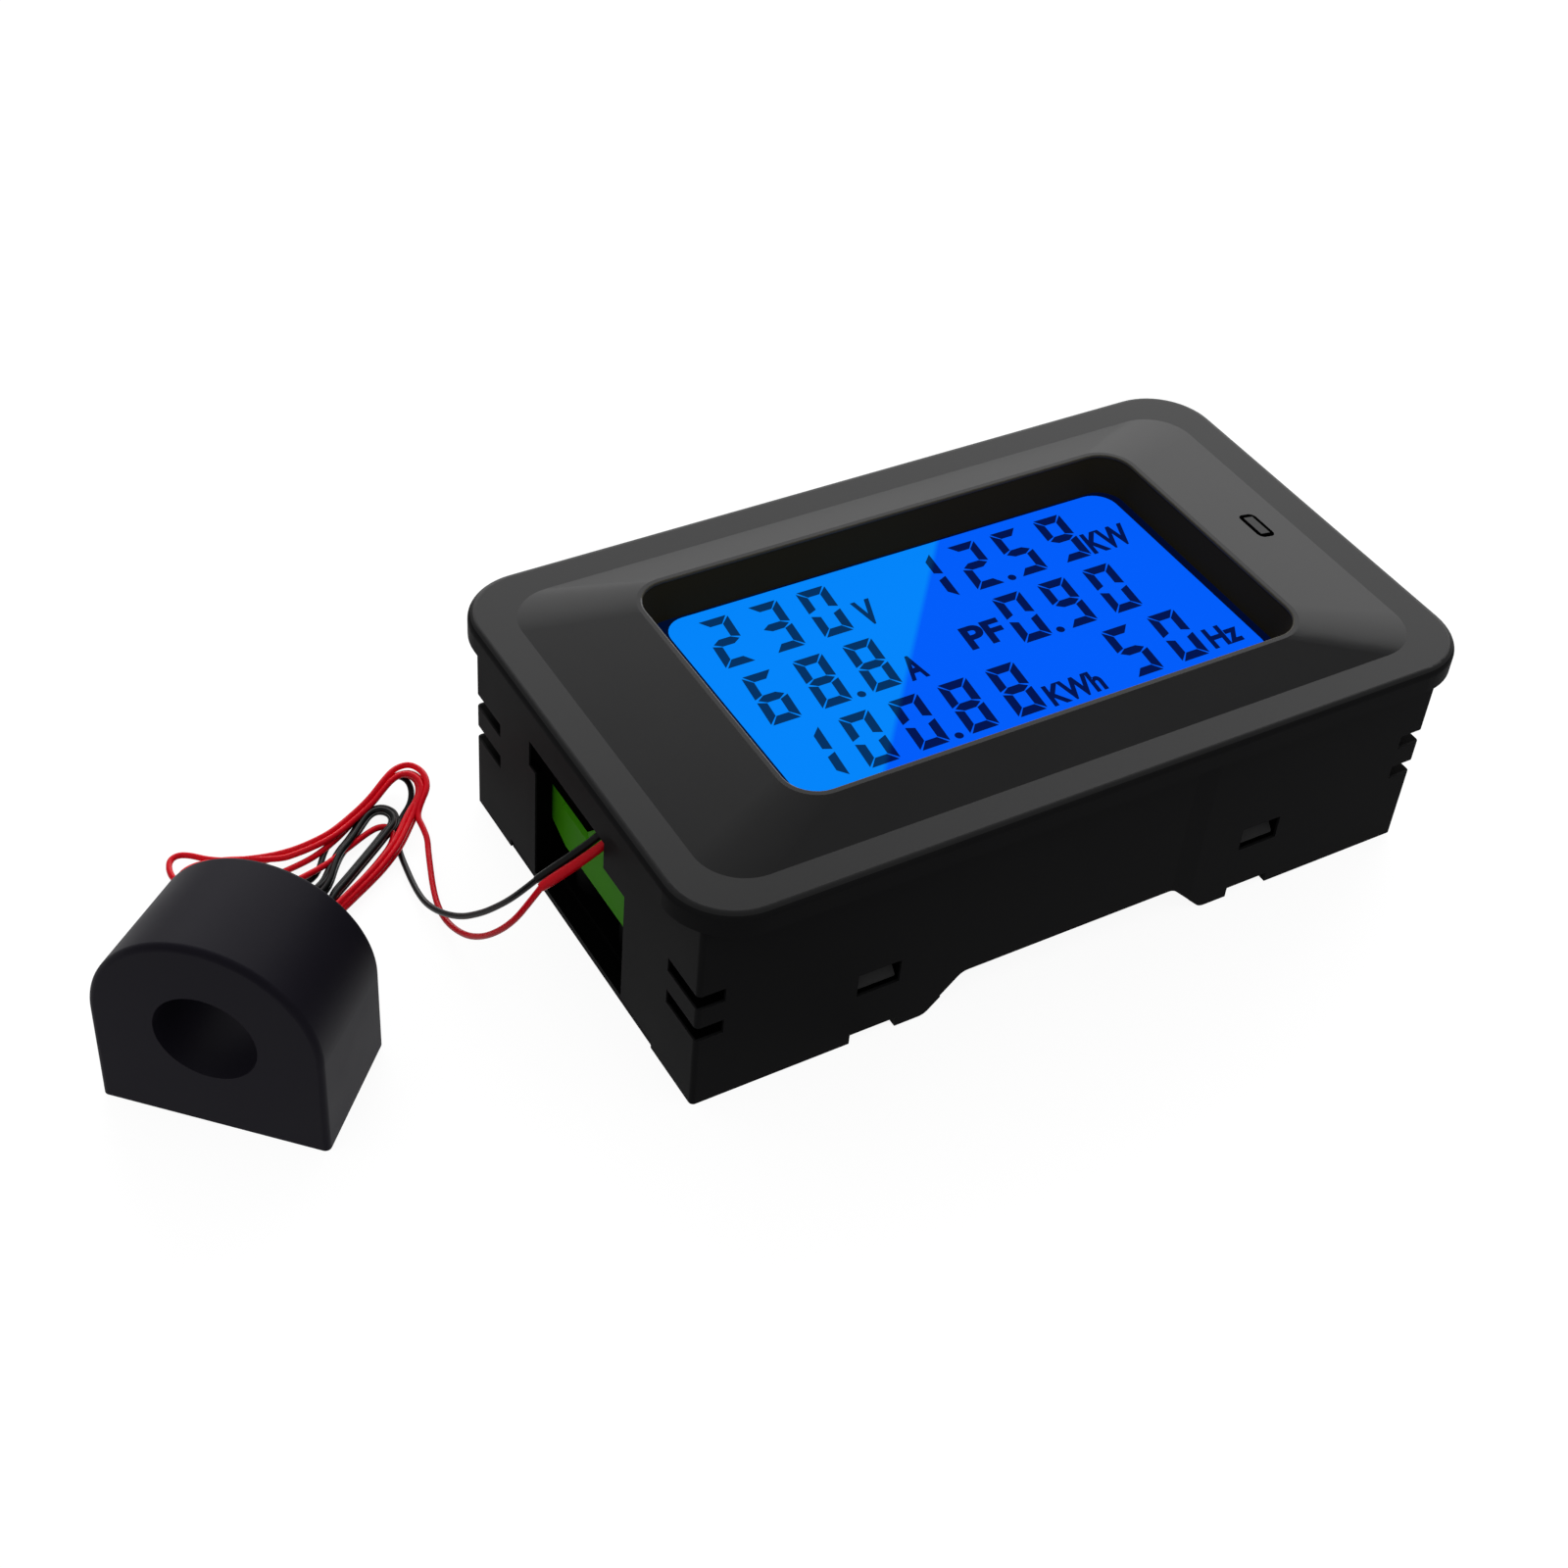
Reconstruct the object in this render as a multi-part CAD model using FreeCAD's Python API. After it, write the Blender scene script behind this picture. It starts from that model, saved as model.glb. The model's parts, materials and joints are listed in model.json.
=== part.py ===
import FreeCAD, Part
import math
import os

# Panel power meter with its current transformer and red and black leads.
# Millimetres. X runs along the display, Y up the display, Z out of the display towards the reader.
# The origin is the centre of the panel cut-out, in the plane where the front frame seats on the panel.

V = FreeCAD.Vector

# Body behind the panel
body_length = 86.0
body_height = 47.2
body_depth = 23.8
body_corner = 0.5
wall = 1.8
side_recess = 0.12
side_recess_length = 30.6

# Front frame: each ring is wider or narrower than the one before by a margin at the ends and at the sides
flange_over_end = 2.0
flange_over_side = 2.9
flange_thickness = 2.6
flange_corner = 7.0
flange_edge = 0.8
bezel_in_end = 4.2
bezel_in_side = 4.0
bezel_corner = 5.0
slope_end = 10.8
slope_side = 5.15
rim_corner = 4.0
rim_rise = 1.7
rim_width = 0.45
window_in_end = 1.25
window_in_side = 1.75
window_corner = 2.8
window_depth = 4.1

# Corner vents, snap windows, pry notches and the raised middle of the rear edge
vent_height = 1.7
vent_depths = (9.05, 13.25)
vent_along_side = 2.95
vent_along_end = 5.7
snap_x = 23.0
snap_window_length = 4.8
snap_window_height = 2.85
snap_window_depth = 14.4
notch_length = 5.2
notch_height = 1.2
arch_rise = 4.1
arch_foot = 17.0
arch_top = 12.9
arch_round = 1.6

# Wire opening in the left end wall
opening_y = (-9.15, 9.9)
opening_gap = 1.2
board_slot_rise = 0.4
board_slot_reach = 0.4
foot_slot_length = 31.0
foot_slot_height = 1.0

# Rear cover
plate = 1.6
cover_gap = 0.2
snap_arm = 1.2
snap_arm_gap = 0.4
snap_side_gap = 0.3
snap_reach = 1.7
lip_gap = 0.15
lip_lift = 0.05
driver_hole = 5.0
driver_tube = 0.8
driver_tube_gap = 0.3

# Main board and what holds it
board_thickness = 1.6
board_depth = 6.3
board_gap = 0.6
board_tab_y = (-0.9, 11.0)
board_tab_gap = 0.3
lead_cut = 3.5
lead_cut_depth = 1.9
post_inset = 3.6
post_radius = 2.2
post_rib = 1.0
screw_radius = 0.8
screw_head_radius = 1.9
screw_head_height = 1.2
screw_length = 6.0
screw_fit = 0.05

# Display stack, from the window down
polariser = 0.2
glass = 1.1
glass_over_end = 3.25
glass_over_side = 1.9
glass_ledge = 2.6
guide = 2.0
guide_in_end = 2.0
guide_in_side = 1.0
tray_wall = 1.2
tray_floor = 0.9
tray_lift = 0.6
tray_foot_radius = 1.0
tray_foot_inset = 2.0
strip_width = 1.6
strip_height = 1.8
strip_board = 0.8
light_length = 2.8
light_height = 1.0
lights_apart = 10.0
stack_gap = 0.1
pin_count = 16
pin_pitch = 3.0
pin_size = 0.5
pin_thickness = 0.3
pin_clip = 1.0
pin_past_board = 0.6
rib = 1.0
rib_height = 2.2
rib_length = 24.0
rib_gap = 1.2

# Set button and its switch
key_inset = 4.85
key_length = 1.8
key_height = 3.8
key_corner = 0.5
key_gap = 0.2
key_flange = 0.7
key_flange_height = 0.8
key_seat = 0.1
key_post_radius = 1.2
key_travel = 0.35
switch_size = 6.0
switch_height = 3.5
stem_radius = 1.75
stem_height = 1.3
stem_inside = 1.6
stem_gap = 0.1
stem_collar = 0.35
dome_thickness = 0.15
dome_rise = 0.3
leg_width = 0.7
leg_thickness = 0.3
leg_rise = 1.2

# Terminal block, seen through the opening
poles = 2
pole_pitch = 9.5
block_end = 0.4
block_depth = 9.2
block_height = 9.6
block_bevel = (3.2, 1.4)
block_y = 0.5
entry_width = 4.8
entry_height = 3.1
entry_drop = 1.3
entry_funnel = 0.5
cage_size_x = 5.2
cage_size_y = 5.4
cage_height = 5.0
cage_wall = 0.7
cage_rear_wall = 0.8
cage_drop = 0.9
cage_clearance = 0.15
cage_travel = 1.6
bar_thickness = 0.6
bar_width = 4.0
bar_clearance = 0.1
pin_strip = 0.8
pin_tail = 1.0
pin_tail_reach = 0.5
clamp_thread_radius = 1.45
clamp_clearance = 0.06
clamp_head_radius = 1.9
clamp_head_height = 1.2
clamp_slot = 0.6
clamp_slot_depth = 0.7
clamp_lip = 0.3
clamp_lip_gap = 0.1
well_gap = 0.2
front_wall = 1.2

# What is soldered to the rear of the board: sizes, then places along X and Y
chip_lift = 0.1
chip_leg = 1.0
small_chip = (5.0, 3.9, 1.5)
small_chip_pitch = 1.27
metering_chip_at = (-20.0, 3.0)
memory_chip_at = (-3.0, -8.0)
driver_chip = (12.8, 7.5, 2.2)
driver_chip_at = (4.0, 6.0)
rectifier = (4.7, 3.9, 2.4)
rectifier_pitch = 2.54
rectifier_at = (10.0, -14.0)
regulator = (4.5, 2.5, 1.5)
regulator_pitch = 1.5
regulator_at = (16.5, 3.0)
crystal = (11.0, 4.6, 3.6)
crystal_rim = 0.3
crystal_foot = 0.4
crystal_at = (10.0, -4.0)
supply_box = (18.0, 8.5, 11.0)
supply_box_corner = 0.6
supply_box_at = (27.0, -12.0)
tall_can = (4.0, 11.5)
tall_can_at = (31.0, 7.0)
short_can = (3.15, 9.0)
short_can_at = (22.0, 12.0)
can_groove = 0.3
can_groove_height = 0.6
can_groove_lift = 1.6
varistor_radius = 5.0
varistor_thickness = 4.0
varistor_drop = 6.4
varistor_at = (-22.0, -11.5)
wire_leg = 0.5
varistor_legs_apart = (2.3, 5.0)
fuse_radius = 1.8
fuse_length = 9.0
fuse_drop = 2.4
fuse_span = 12.2
fuse_at = (-17.5, 14.5)
burden_size = (3.2, 1.6, 0.6)
burden_at = (-28.4, -15.5)
burden_apart = 3.0
divider_size = (2.0, 3.2, 0.6)
divider_count = 6
divider_at = (4.5, 14.2)
divider_apart = 3.0

# Current transformer, built in its own frame: X across, Y from front to back, Z up from its base
ct_width = 22.4
ct_height = 22.7
ct_depth = 14.1
ct_back_width = 21.6
ct_back_height = 20.6
ct_wall = 1.1
ct_edge = 0.6
ct_bore_radius = 5.0
ct_bore_height = 11.4
ct_tube_wall = 0.7
ct_winding_gap = 0.2
ct_winding_outer = 8.6
ct_winding_length = 8.0
ct_winding_wall = 0.5
ct_base_recess = 0.4
ct_resin = 0.8
ct_saddle = 12.0
ct_front_x = -83.0
ct_front_y = -5.8
ct_turn = -45.0
ct_hole_fit = 0.05
red_hole = (1.2, 3.4)
black_hole = (-1.2, 1.7)

# Leads
wire = 0.66
sleeve = 1.0
sleeve_radius_of_bend = 2.6
sleeve_knee = (-43.3, -8.6)

# Hanks: loops round two ends, spiralling in on one layer and out on the next, the red one on the black one
hank_step = 1.35
hank_layer = 1.3
hank_rest = 0.3
hank_turns = 2
climb_radius = 3.0
black_far = (-53.2, 25.2)
black_near = (-66.5, 17.2)
black_far_radius = 3.75
black_near_radius = 5.2
black_last_run = 0.2
red_far = (-50.6, 25.3)
red_near = (-68.6, 15.0)
red_far_radius = 3.9
red_near_radius = 6.6
red_last_run = 0.5

# Lengths, places and heights that follow from the sizes above
flange_length = body_length + 2 * flange_over_end
flange_height = body_height + 2 * flange_over_side
bezel_length = flange_length - 2 * bezel_in_end
bezel_height = flange_height - 2 * bezel_in_side
rim_length = bezel_length - 2 * slope_end
rim_height = bezel_height - 2 * slope_side
window_length = rim_length - 2 * window_in_end
window_height = rim_height - 2 * window_in_side
glass_length = window_length + 2 * glass_over_end
front_glass_height = window_height + 2 * glass_over_side
guide_length = glass_length - 2 * guide_in_end
guide_height = front_glass_height - 2 * guide_in_side
face_z = flange_thickness
rim_z = face_z + rim_rise
ceiling_z = rim_z - window_depth
rear_z = -body_depth
board_top = -board_depth
board_low = board_top - board_thickness
opening_top = board_low - opening_gap
inner_x = body_length / 2 - wall
inner_y = body_height / 2 - wall
post_x = inner_x - post_inset
post_y = inner_y - post_inset
key_x = inner_x - key_inset


def box(x, y, z):
    """A block between two limits on each axis."""
    corner = V(min(x), min(y), min(z))
    return Part.makeBox(abs(x[1] - x[0]), abs(y[1] - y[0]), abs(z[1] - z[0]), corner)


def rod(radius, x, y, z):
    """A round bar along Z between two heights."""
    return Part.makeCylinder(radius, abs(z[1] - z[0]), V(x, y, min(z)), V(0, 0, 1))


def outline(length, height, corner, z, centre=(0.0, 0.0)):
    """A rounded rectangle at height z."""
    edges = []
    last = None
    first = None
    for quarter in range(4):
        start = math.radians(90 * quarter)
        side_x = 1 if quarter in (0, 3) else -1
        side_y = 1 if quarter in (0, 1) else -1
        middle = V(centre[0] + side_x * (length / 2 - corner),
                   centre[1] + side_y * (height / 2 - corner), z)
        points = []
        for part in (0, 0.5, 1):
            angle = start + part * math.pi / 2
            points.append(middle + V(corner * math.cos(angle), corner * math.sin(angle), 0))
        if last is not None:
            edges.append(Part.LineSegment(last, points[0]).toShape())
        else:
            first = points[0]
        edges.append(Part.Arc(*points).toShape())
        last = points[2]
    edges.append(Part.LineSegment(last, first).toShape())
    return Part.Wire(edges)


def slab(length, height, corner, z, centre=(0.0, 0.0)):
    """A rounded plate between two heights."""
    face = Part.Face(outline(length, height, corner, min(z), centre))
    return face.extrude(V(0, 0, abs(z[1] - z[0])))


def taper(low, high):
    """A solid between two rounded rectangles, each given as (length, height, corner, z)."""
    return Part.makeLoft([outline(*low), outline(*high)], True, True)


def profile_xz(points, y):
    """A straight-sided profile in X and Z, drawn out along Y."""
    corners = [V(x, min(y), z) for x, z in points]
    face = Part.Face(Part.makePolygon(corners + corners[:1]))
    return face.extrude(V(0, abs(y[1] - y[0]), 0))


def profile_yz(points, x):
    """A straight-sided profile in Y and Z, drawn out along X."""
    corners = [V(min(x), y, z) for y, z in points]
    face = Part.Face(Part.makePolygon(corners + corners[:1]))
    return face.extrude(V(abs(x[1] - x[0]), 0, 0))


def fuse(shapes):
    """One solid from several that touch or overlap."""
    shapes = list(shapes)
    return shapes[0].multiFuse(shapes[1:]).removeSplitter()


def cut(shape, tools):
    """A solid with several others taken out of it."""
    return shape.cut(Part.makeCompound(list(tools)))


def corners_of(x, y):
    """The four places at plus and minus x and y."""
    return [(sx * x, sy * y) for sx in (-1, 1) for sy in (-1, 1)]


def bezel_blank():
    """The flange with its rounded front edge and the four slopes that rise to the window's rim."""
    flange = slab(flange_length, flange_height, flange_corner, (0, face_z))
    top_edges = [edge for edge in flange.Edges if edge.BoundBox.ZMin > face_z - 0.01]
    flange = flange.makeFillet(flange_edge, top_edges)
    slopes = taper((bezel_length, bezel_height, bezel_corner, face_z),
                   (rim_length, rim_height, rim_corner, rim_z))
    return fuse([flange, slopes])


def vent_cuts():
    """Two slots that wrap round each corner of the body."""
    half_x = body_length / 2
    half_y = body_height / 2
    out = 1.0
    slots = []
    for depth in vent_depths:
        z = (-depth - vent_height, -depth)
        for sx, sy in corners_of(1, 1):
            along_side = box((sx * (half_x - vent_along_side), sx * (half_x + out)),
                             (sy * (half_y - wall), sy * (half_y + out)), z)
            along_end = box((sx * (half_x - wall), sx * (half_x + out)),
                            (sy * (half_y - vent_along_end), sy * (half_y + out)), z)
            slots.append(along_side.fuse(along_end))
    return slots


def side_cuts():
    """What is cut in the two long walls: snap windows, pry notches, the shallow panel and the arch."""
    half_y = body_height / 2
    out = 1.0
    cuts = []
    window_z = (-snap_window_depth - snap_window_height, -snap_window_depth)
    notch_z = (rear_z - out, rear_z + notch_height)
    for sx, sy in corners_of(1, 1):
        y = (sy * (half_y - wall - out), sy * (half_y + out))
        x = sx * snap_x
        cuts.append(box((x - snap_window_length / 2, x + snap_window_length / 2), y, window_z))
        cuts.append(box((x - notch_length / 2, x + notch_length / 2), y, notch_z))
    for sy in (-1, 1):
        cuts.append(box((-side_recess_length / 2, side_recess_length / 2),
                        (sy * (half_y - side_recess), sy * (half_y + out)), (rear_z - out, 0)))
    cuts.append(arch_cut())
    return cuts


def arch_cut():
    """What lies under the raised middle of the rear edge, with its four bends rounded."""
    side = body_height / 2 + 1
    beyond = arch_foot + arch_round
    high = rear_z + arch_rise
    bends = [(-beyond, -side, rear_z), (-arch_foot, -side, rear_z), (-arch_top, -side, high),
             (arch_top, -side, high), (arch_foot, -side, rear_z), (beyond, -side, rear_z)]
    edges = route_edges(bends, arch_round, "arch")
    under = [V(beyond, -side, rear_z), V(beyond, -side, rear_z - 1), V(-beyond, -side, rear_z - 1),
             V(-beyond, -side, rear_z)]
    for start, end in zip(under, under[1:]):
        edges.append(Part.LineSegment(start, end).toShape())
    return Part.Face(Part.Wire(edges)).extrude(V(0, 2 * side, 0))


def wire_opening():
    """The way in for the supply wires, the board's slot, the leads' notch and the slot at the rear edge."""
    x = (-body_length / 2 - 1, -inner_x + 0.5)
    main = box(x, opening_y, (opening_top, rear_z - 1))
    slot_y = (board_tab_y[0] - lead_cut - board_slot_reach, board_tab_y[1] + board_tab_gap)
    board_slot = box(x, slot_y, (opening_top, board_top + board_slot_rise))
    foot = box(x, (-foot_slot_length / 2, foot_slot_length / 2), (rear_z - 1, rear_z + foot_slot_height))
    return [main, board_slot, foot]


def board_posts():
    """Four posts under the front frame that carry the board, each tied to the side wall by a rib."""
    posts = []
    for x, y in corners_of(post_x, post_y):
        post = rod(post_radius, x, y, (ceiling_z, board_top))
        side = math.copysign(inner_y + 0.2, y)
        tie = box((x - post_rib / 2, x + post_rib / 2), (y, side), (ceiling_z, board_top + 1))
        posts += [post, tie]
    return posts


def make_front_housing():
    """Front frame, window funnel and the four walls, moulded in one piece and open at the rear."""
    shell = slab(body_length, body_height, body_corner, (rear_z, 0))
    cavity = slab(2 * inner_x, 2 * inner_y, 0.5, (rear_z, ceiling_z))
    blank = cut(fuse([bezel_blank(), shell]), [cavity])
    display_x = glass_length / 2 + rib_gap
    ribs = [box((s * display_x, s * (display_x + rib)), (-rib_length / 2, rib_length / 2),
                (ceiling_z, ceiling_z - rib_height)) for s in (-1, 1)]
    blank = fuse([blank] + board_posts() + ribs)
    window = taper((window_length, window_height, window_corner, ceiling_z),
                   (rim_length - 2 * rim_width, rim_height - 2 * rim_width, rim_corner - rim_width, rim_z))
    key_hole = slab(key_length + 2 * key_gap, key_height + 2 * key_gap, key_corner + key_gap,
                    (ceiling_z - 1, rim_z + 1), (key_x, 0))
    pilots = [rod(screw_radius + screw_fit, x, y, (board_top - 1, board_top + screw_length - 1))
              for x, y in corners_of(post_x, post_y)]
    return cut(blank, [window, key_hole] + pilots + vent_cuts() + side_cuts() + wire_opening())


def make_rear_cover():
    """A plate that follows the arch of the rear edge, with four hooked arms and a lip in the end slot."""
    low = rear_z + cover_gap
    high = low + arch_rise
    lean = math.atan2(arch_rise, arch_foot - arch_top)
    shift = plate * math.tan(lean / 2)
    foot = arch_foot + 0.1
    top = arch_top
    end = inner_x - cover_gap
    outer = [(end, low), (foot, low), (top, high)]
    inner = [(end, low + plate), (foot + shift, low + plate), (top + shift, high + plate)]
    points = [(-x, z) for x, z in outer] + [(x, z) for x, z in reversed(outer)]
    points += inner + [(-x, z) for x, z in reversed(inner)]
    cover = profile_xz(points, (-inner_y + cover_gap, inner_y - cover_gap))
    arms = [snap_arm_at(sx * snap_x, sy, low + plate - 0.5) for sx, sy in corners_of(1, 1)]
    half = foot_slot_length / 2 - lip_gap
    lip = box((-body_length / 2 + lip_gap, -end + 1), (-half, half),
              (rear_z + lip_lift, rear_z + foot_slot_height - lip_gap))
    cover = fuse([cover, lip] + arms)
    tube_top = board_low - block_height - driver_tube_gap
    tubes = []
    holes = []
    for y in pole_places():
        tubes.append(rod(driver_hole / 2 + driver_tube, screw_x(), y, (low + plate / 2, tube_top)))
        holes.append(rod(driver_hole / 2, screw_x(), y, (rear_z - 1, tube_top + 1)))
    return cut(fuse([cover] + tubes), holes)


def snap_arm_at(x, side, foot):
    """One arm of the cover, with a sloping tip that catches in a window of the side wall."""
    half = snap_window_length / 2 - snap_side_gap
    out = inner_y - snap_arm_gap
    tip = -snap_window_depth - cover_gap
    catch = -snap_window_depth - snap_window_height + 0.4
    wedge = [(out - snap_arm, foot), (out, foot), (out, catch), (out + snap_reach, catch),
             (out + snap_reach, catch + 0.3), (out, tip), (out - snap_arm, tip)]
    return profile_yz([(side * y, z) for y, z in wedge], (x - half, x + half))


def pole_places():
    """Y of each pole of the terminal block."""
    first = block_y + pole_pitch * (poles - 1) / 2
    return [first - pole_pitch * number for number in range(poles)]


def block_front():
    """X of the block's outer face, just inside the end wall."""
    return -inner_x + 0.3


def chamber_low_x():
    return block_front() + front_wall


def screw_x():
    """X of the clamping screws."""
    return chamber_low_x() + cage_clearance + cage_size_x / 2


def bar_z():
    """Height of the fixed bar's face that the screw's tip bears on."""
    return board_low - cage_drop - cage_height + cage_rear_wall + bar_clearance


def chamber_rear():
    return board_low - cage_drop - cage_height - cage_travel - cage_clearance


def make_terminal_block():
    """The green block: a chamber, a wire entry and a screw well for each pole."""
    x0 = block_front()
    x1 = x0 + block_depth
    rear = board_low - block_height
    half_width = poles * pole_pitch / 2 + block_end
    across, up = block_bevel
    ends = [(half_width, board_low), (half_width, rear + up), (half_width - across, rear)]
    section = [(block_y + y, z) for y, z in ends] + [(block_y - y, z) for y, z in reversed(ends)]
    body = profile_yz(section, (x0, x1))
    cuts = []
    for y in pole_places():
        half = cage_size_y / 2 + cage_clearance
        x_in = chamber_low_x()
        x_out = x_in + cage_size_x + 2 * cage_clearance
        cuts.append(box((x_in, x_out), (y - half, y + half), (board_low - cage_drop + 0.2, chamber_rear())))
        entry_z = (board_low - entry_drop - entry_height, board_low - entry_drop)
        cuts.append(box((x0 - 1, x_in + 0.5), (y - entry_width / 2, y + entry_width / 2), entry_z))
        wide = entry_funnel
        mouth = [entry_ring(x0 + wide, y, entry_z, 0), entry_ring(x0 - 0.2, y, entry_z, wide + 0.2)]
        cuts.append(Part.makeLoft(mouth, True, True))
        strip_end = x_out + 0.3 + pin_strip + bar_clearance
        half = bar_width / 2 + bar_clearance
        cuts.append(box((x_out - 0.5, strip_end), (y - half, y + half), (bar_z() - 0.05, board_low + 1)))
        well = (chamber_rear() + 0.5, rear + clamp_lip)
        cuts.append(rod(clamp_head_radius + well_gap, screw_x(), y, well))
        cuts.append(rod(clamp_head_radius - 0.3, screw_x(), y, (rear - 1, rear + 1)))
    return cut(body, cuts)


def entry_ring(x, y, z, grow):
    """A rectangle in the plane of one X, grown all round."""
    half = entry_width / 2 + grow
    low = z[0] - grow
    high = z[1] + grow
    points = [V(x, y - half, low), V(x, y + half, low), V(x, y + half, high), V(x, y - half, high)]
    return Part.makePolygon(points + points[:1])


def make_cage(y):
    """The clamp that the screw draws back against the bar: a square ring with a threaded rear wall."""
    x0 = chamber_low_x() + cage_clearance
    top = board_low - cage_drop
    low = top - cage_height
    half = cage_size_y / 2
    ring = box((x0, x0 + cage_size_x), (y - half, y + half), (low, top))
    room = half - cage_wall + 0.1
    inside = box((x0 - 1, x0 + cage_size_x + 1), (y - room, y + room),
                 (low + cage_rear_wall, top - cage_wall))
    hole = rod(clamp_thread_radius + clamp_clearance, screw_x(), y, (low - 1, low + cage_rear_wall + 0.5))
    return cut(ring, [inside, hole])


def make_clamp_screw(y):
    """A slotted screw whose tip bears on the bar and whose head is held in the well."""
    head_low = board_low - block_height + clamp_lip + clamp_lip_gap
    head_top = head_low + clamp_head_height
    tip = bar_z() - 0.05
    head = rod(clamp_head_radius, screw_x(), y, (head_low, head_top))
    shank = rod(clamp_thread_radius, screw_x(), y, (head_top, tip))
    slot = box((screw_x() - clamp_head_radius - 1, screw_x() + clamp_head_radius + 1),
               (y - clamp_slot / 2, y + clamp_slot / 2), (head_low - 1, head_low + clamp_slot_depth))
    return cut(fuse([head, shank]), [slot])


def make_terminal_pins():
    """For each pole, the fixed bar in the cage and the strip and tail that go up into the board."""
    pins = []
    for y in pole_places():
        x_out = chamber_low_x() + cage_size_x + 2 * cage_clearance + 0.3
        bar = box((chamber_low_x() + 0.5, x_out + pin_strip), (y - bar_width / 2, y + bar_width / 2),
                  (bar_z(), bar_z() + bar_thickness))
        strip = box((x_out, x_out + pin_strip), (y - bar_width / 2, y + bar_width / 2),
                    (bar_z() + bar_thickness, board_low - 0.1))
        tail = box((x_out, x_out + pin_strip), (y - pin_tail / 2, y + pin_tail / 2),
                   (board_low - 0.1, board_top + pin_tail_reach))
        pins.append(fuse([bar, strip, tail]))
    return Part.makeCompound(pins)


def make_main_board():
    """The board, with a tab in the end wall's slot and holes for posts, pins and leads."""
    half_x = inner_x - board_gap
    half_y = inner_y - board_gap
    plate_body = box((-half_x, half_x), (-half_y, half_y), (board_low, board_top))
    tab = box((-body_length / 2 + board_tab_gap, 0), board_tab_y, (board_low, board_top))
    board = fuse([plate_body, tab])
    through = (board_low - 1, board_top + 1)
    cuts = [rod(screw_radius + 0.25, x, y, through) for x, y in corners_of(post_x, post_y)]
    cuts.append(box((-half_x - 1, -half_x + lead_cut_depth),
                    (board_tab_y[0] - lead_cut, board_tab_y[0]), through))
    half = pin_size / 2 + 0.1
    for x in pin_places():
        cuts.append(box((x - half, x + half), (pin_y() - 0.1, pin_y() + pin_thickness + 0.1), through))
    x_out = chamber_low_x() + cage_size_x + 2 * cage_clearance + 0.3
    half = pin_tail / 2 + 0.2
    for y in pole_places():
        cuts.append(box((x_out - 0.2, x_out + pin_strip + 0.2), (y - half, y + half), through))
    return cut(board, cuts)


def make_board_screws():
    """Four pan-head screws through the board into the posts."""
    screws = []
    for x, y in corners_of(post_x, post_y):
        head = rod(screw_head_radius, x, y, (board_low - screw_head_height, board_low))
        shank = rod(screw_radius, x, y, (board_low, board_low + screw_length))
        slot = box((x - 0.3, x + 0.3), (y - screw_head_radius - 1, y + screw_head_radius + 1),
                   (board_low - screw_head_height - 1, board_low - screw_head_height + 0.5))
        screws.append(cut(fuse([head, shank]), [slot]))
    return Part.makeCompound(screws)


def glass_low():
    """Y of the lower edge that both glass plates share."""
    return -(front_glass_height + glass_ledge) / 2


def pin_places():
    return [(number - (pin_count - 1) / 2) * pin_pitch for number in range(pin_count)]


def pin_y():
    """Y of the pins' inner side, just past the rear glass."""
    return glass_low() + front_glass_height + glass_ledge + 0.05


def make_display():
    """The display's plates and contact pins, from the window down; the light behind it is made apart."""
    low = glass_low()
    middle = low + front_glass_height / 2
    z = ceiling_z
    parts = {}
    film = (glass_length - 2, front_glass_height - 1, 0.3)
    parts["front_polariser"] = slab(*film, (z - polariser, z), (0, middle))
    z -= polariser
    half = glass_length / 2
    parts["lcd_front_glass"] = box((-half, half), (low, low + front_glass_height), (z - glass, z))
    z -= glass
    ledge_z = z
    high = low + front_glass_height + glass_ledge
    parts["lcd_rear_glass"] = box((-half, half), (low, high), (z - glass, z))
    parts.update(make_backlight(middle, z - glass))
    pins = []
    pin_top = ledge_z + pin_thickness
    for x in pin_places():
        sides = (x - pin_size / 2, x + pin_size / 2)
        stem = box(sides, (pin_y(), pin_y() + pin_thickness), (board_low - pin_past_board, pin_top))
        clip = box(sides, (pin_y() - pin_clip, pin_y()), (ledge_z, pin_top))
        pins.append(fuse([stem, clip]))
    parts["display_pins"] = Part.makeCompound(pins)
    return parts


def make_backlight(middle, top):
    """The tray that stands on the board behind the glass, with the light guide and the lights in it."""
    low = board_top + tray_lift
    floor = low + tray_floor
    room = 0.2
    grow = 2 * tray_wall + room
    tray = slab(guide_length + grow, guide_height + grow, 0.5, (low, top), (0, middle))
    pocket = slab(guide_length + room, guide_height + room, 0.2, (floor, top + 1), (0, middle))
    feet = [rod(tray_foot_radius, x, middle + y, (board_top, low))
            for x, y in corners_of(guide_length / 2 - tray_foot_inset, guide_height / 2 - tray_foot_inset)]
    end = -guide_length / 2
    sides = (middle - guide_height / 2, middle + guide_height / 2)
    board_x = end + strip_board
    light_x = (board_x, end + strip_width - stack_gap)
    light_z = (floor + 0.2, floor + 0.2 + light_height)
    strip = [box((end, board_x), sides, (floor, floor + strip_height))]
    for place in (-lights_apart, 0, lights_apart):
        y = middle + place
        strip.append(box(light_x, (y - light_length / 2, y + light_length / 2), light_z))
    guide_top = min(floor + guide, top - stack_gap)
    return {"backlight_tray": fuse([cut(tray, [pocket])] + feet),
            "light_guide": box((end + strip_width, guide_length / 2), sides, (floor, guide_top)),
            "light_strip": fuse(strip)}


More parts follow.
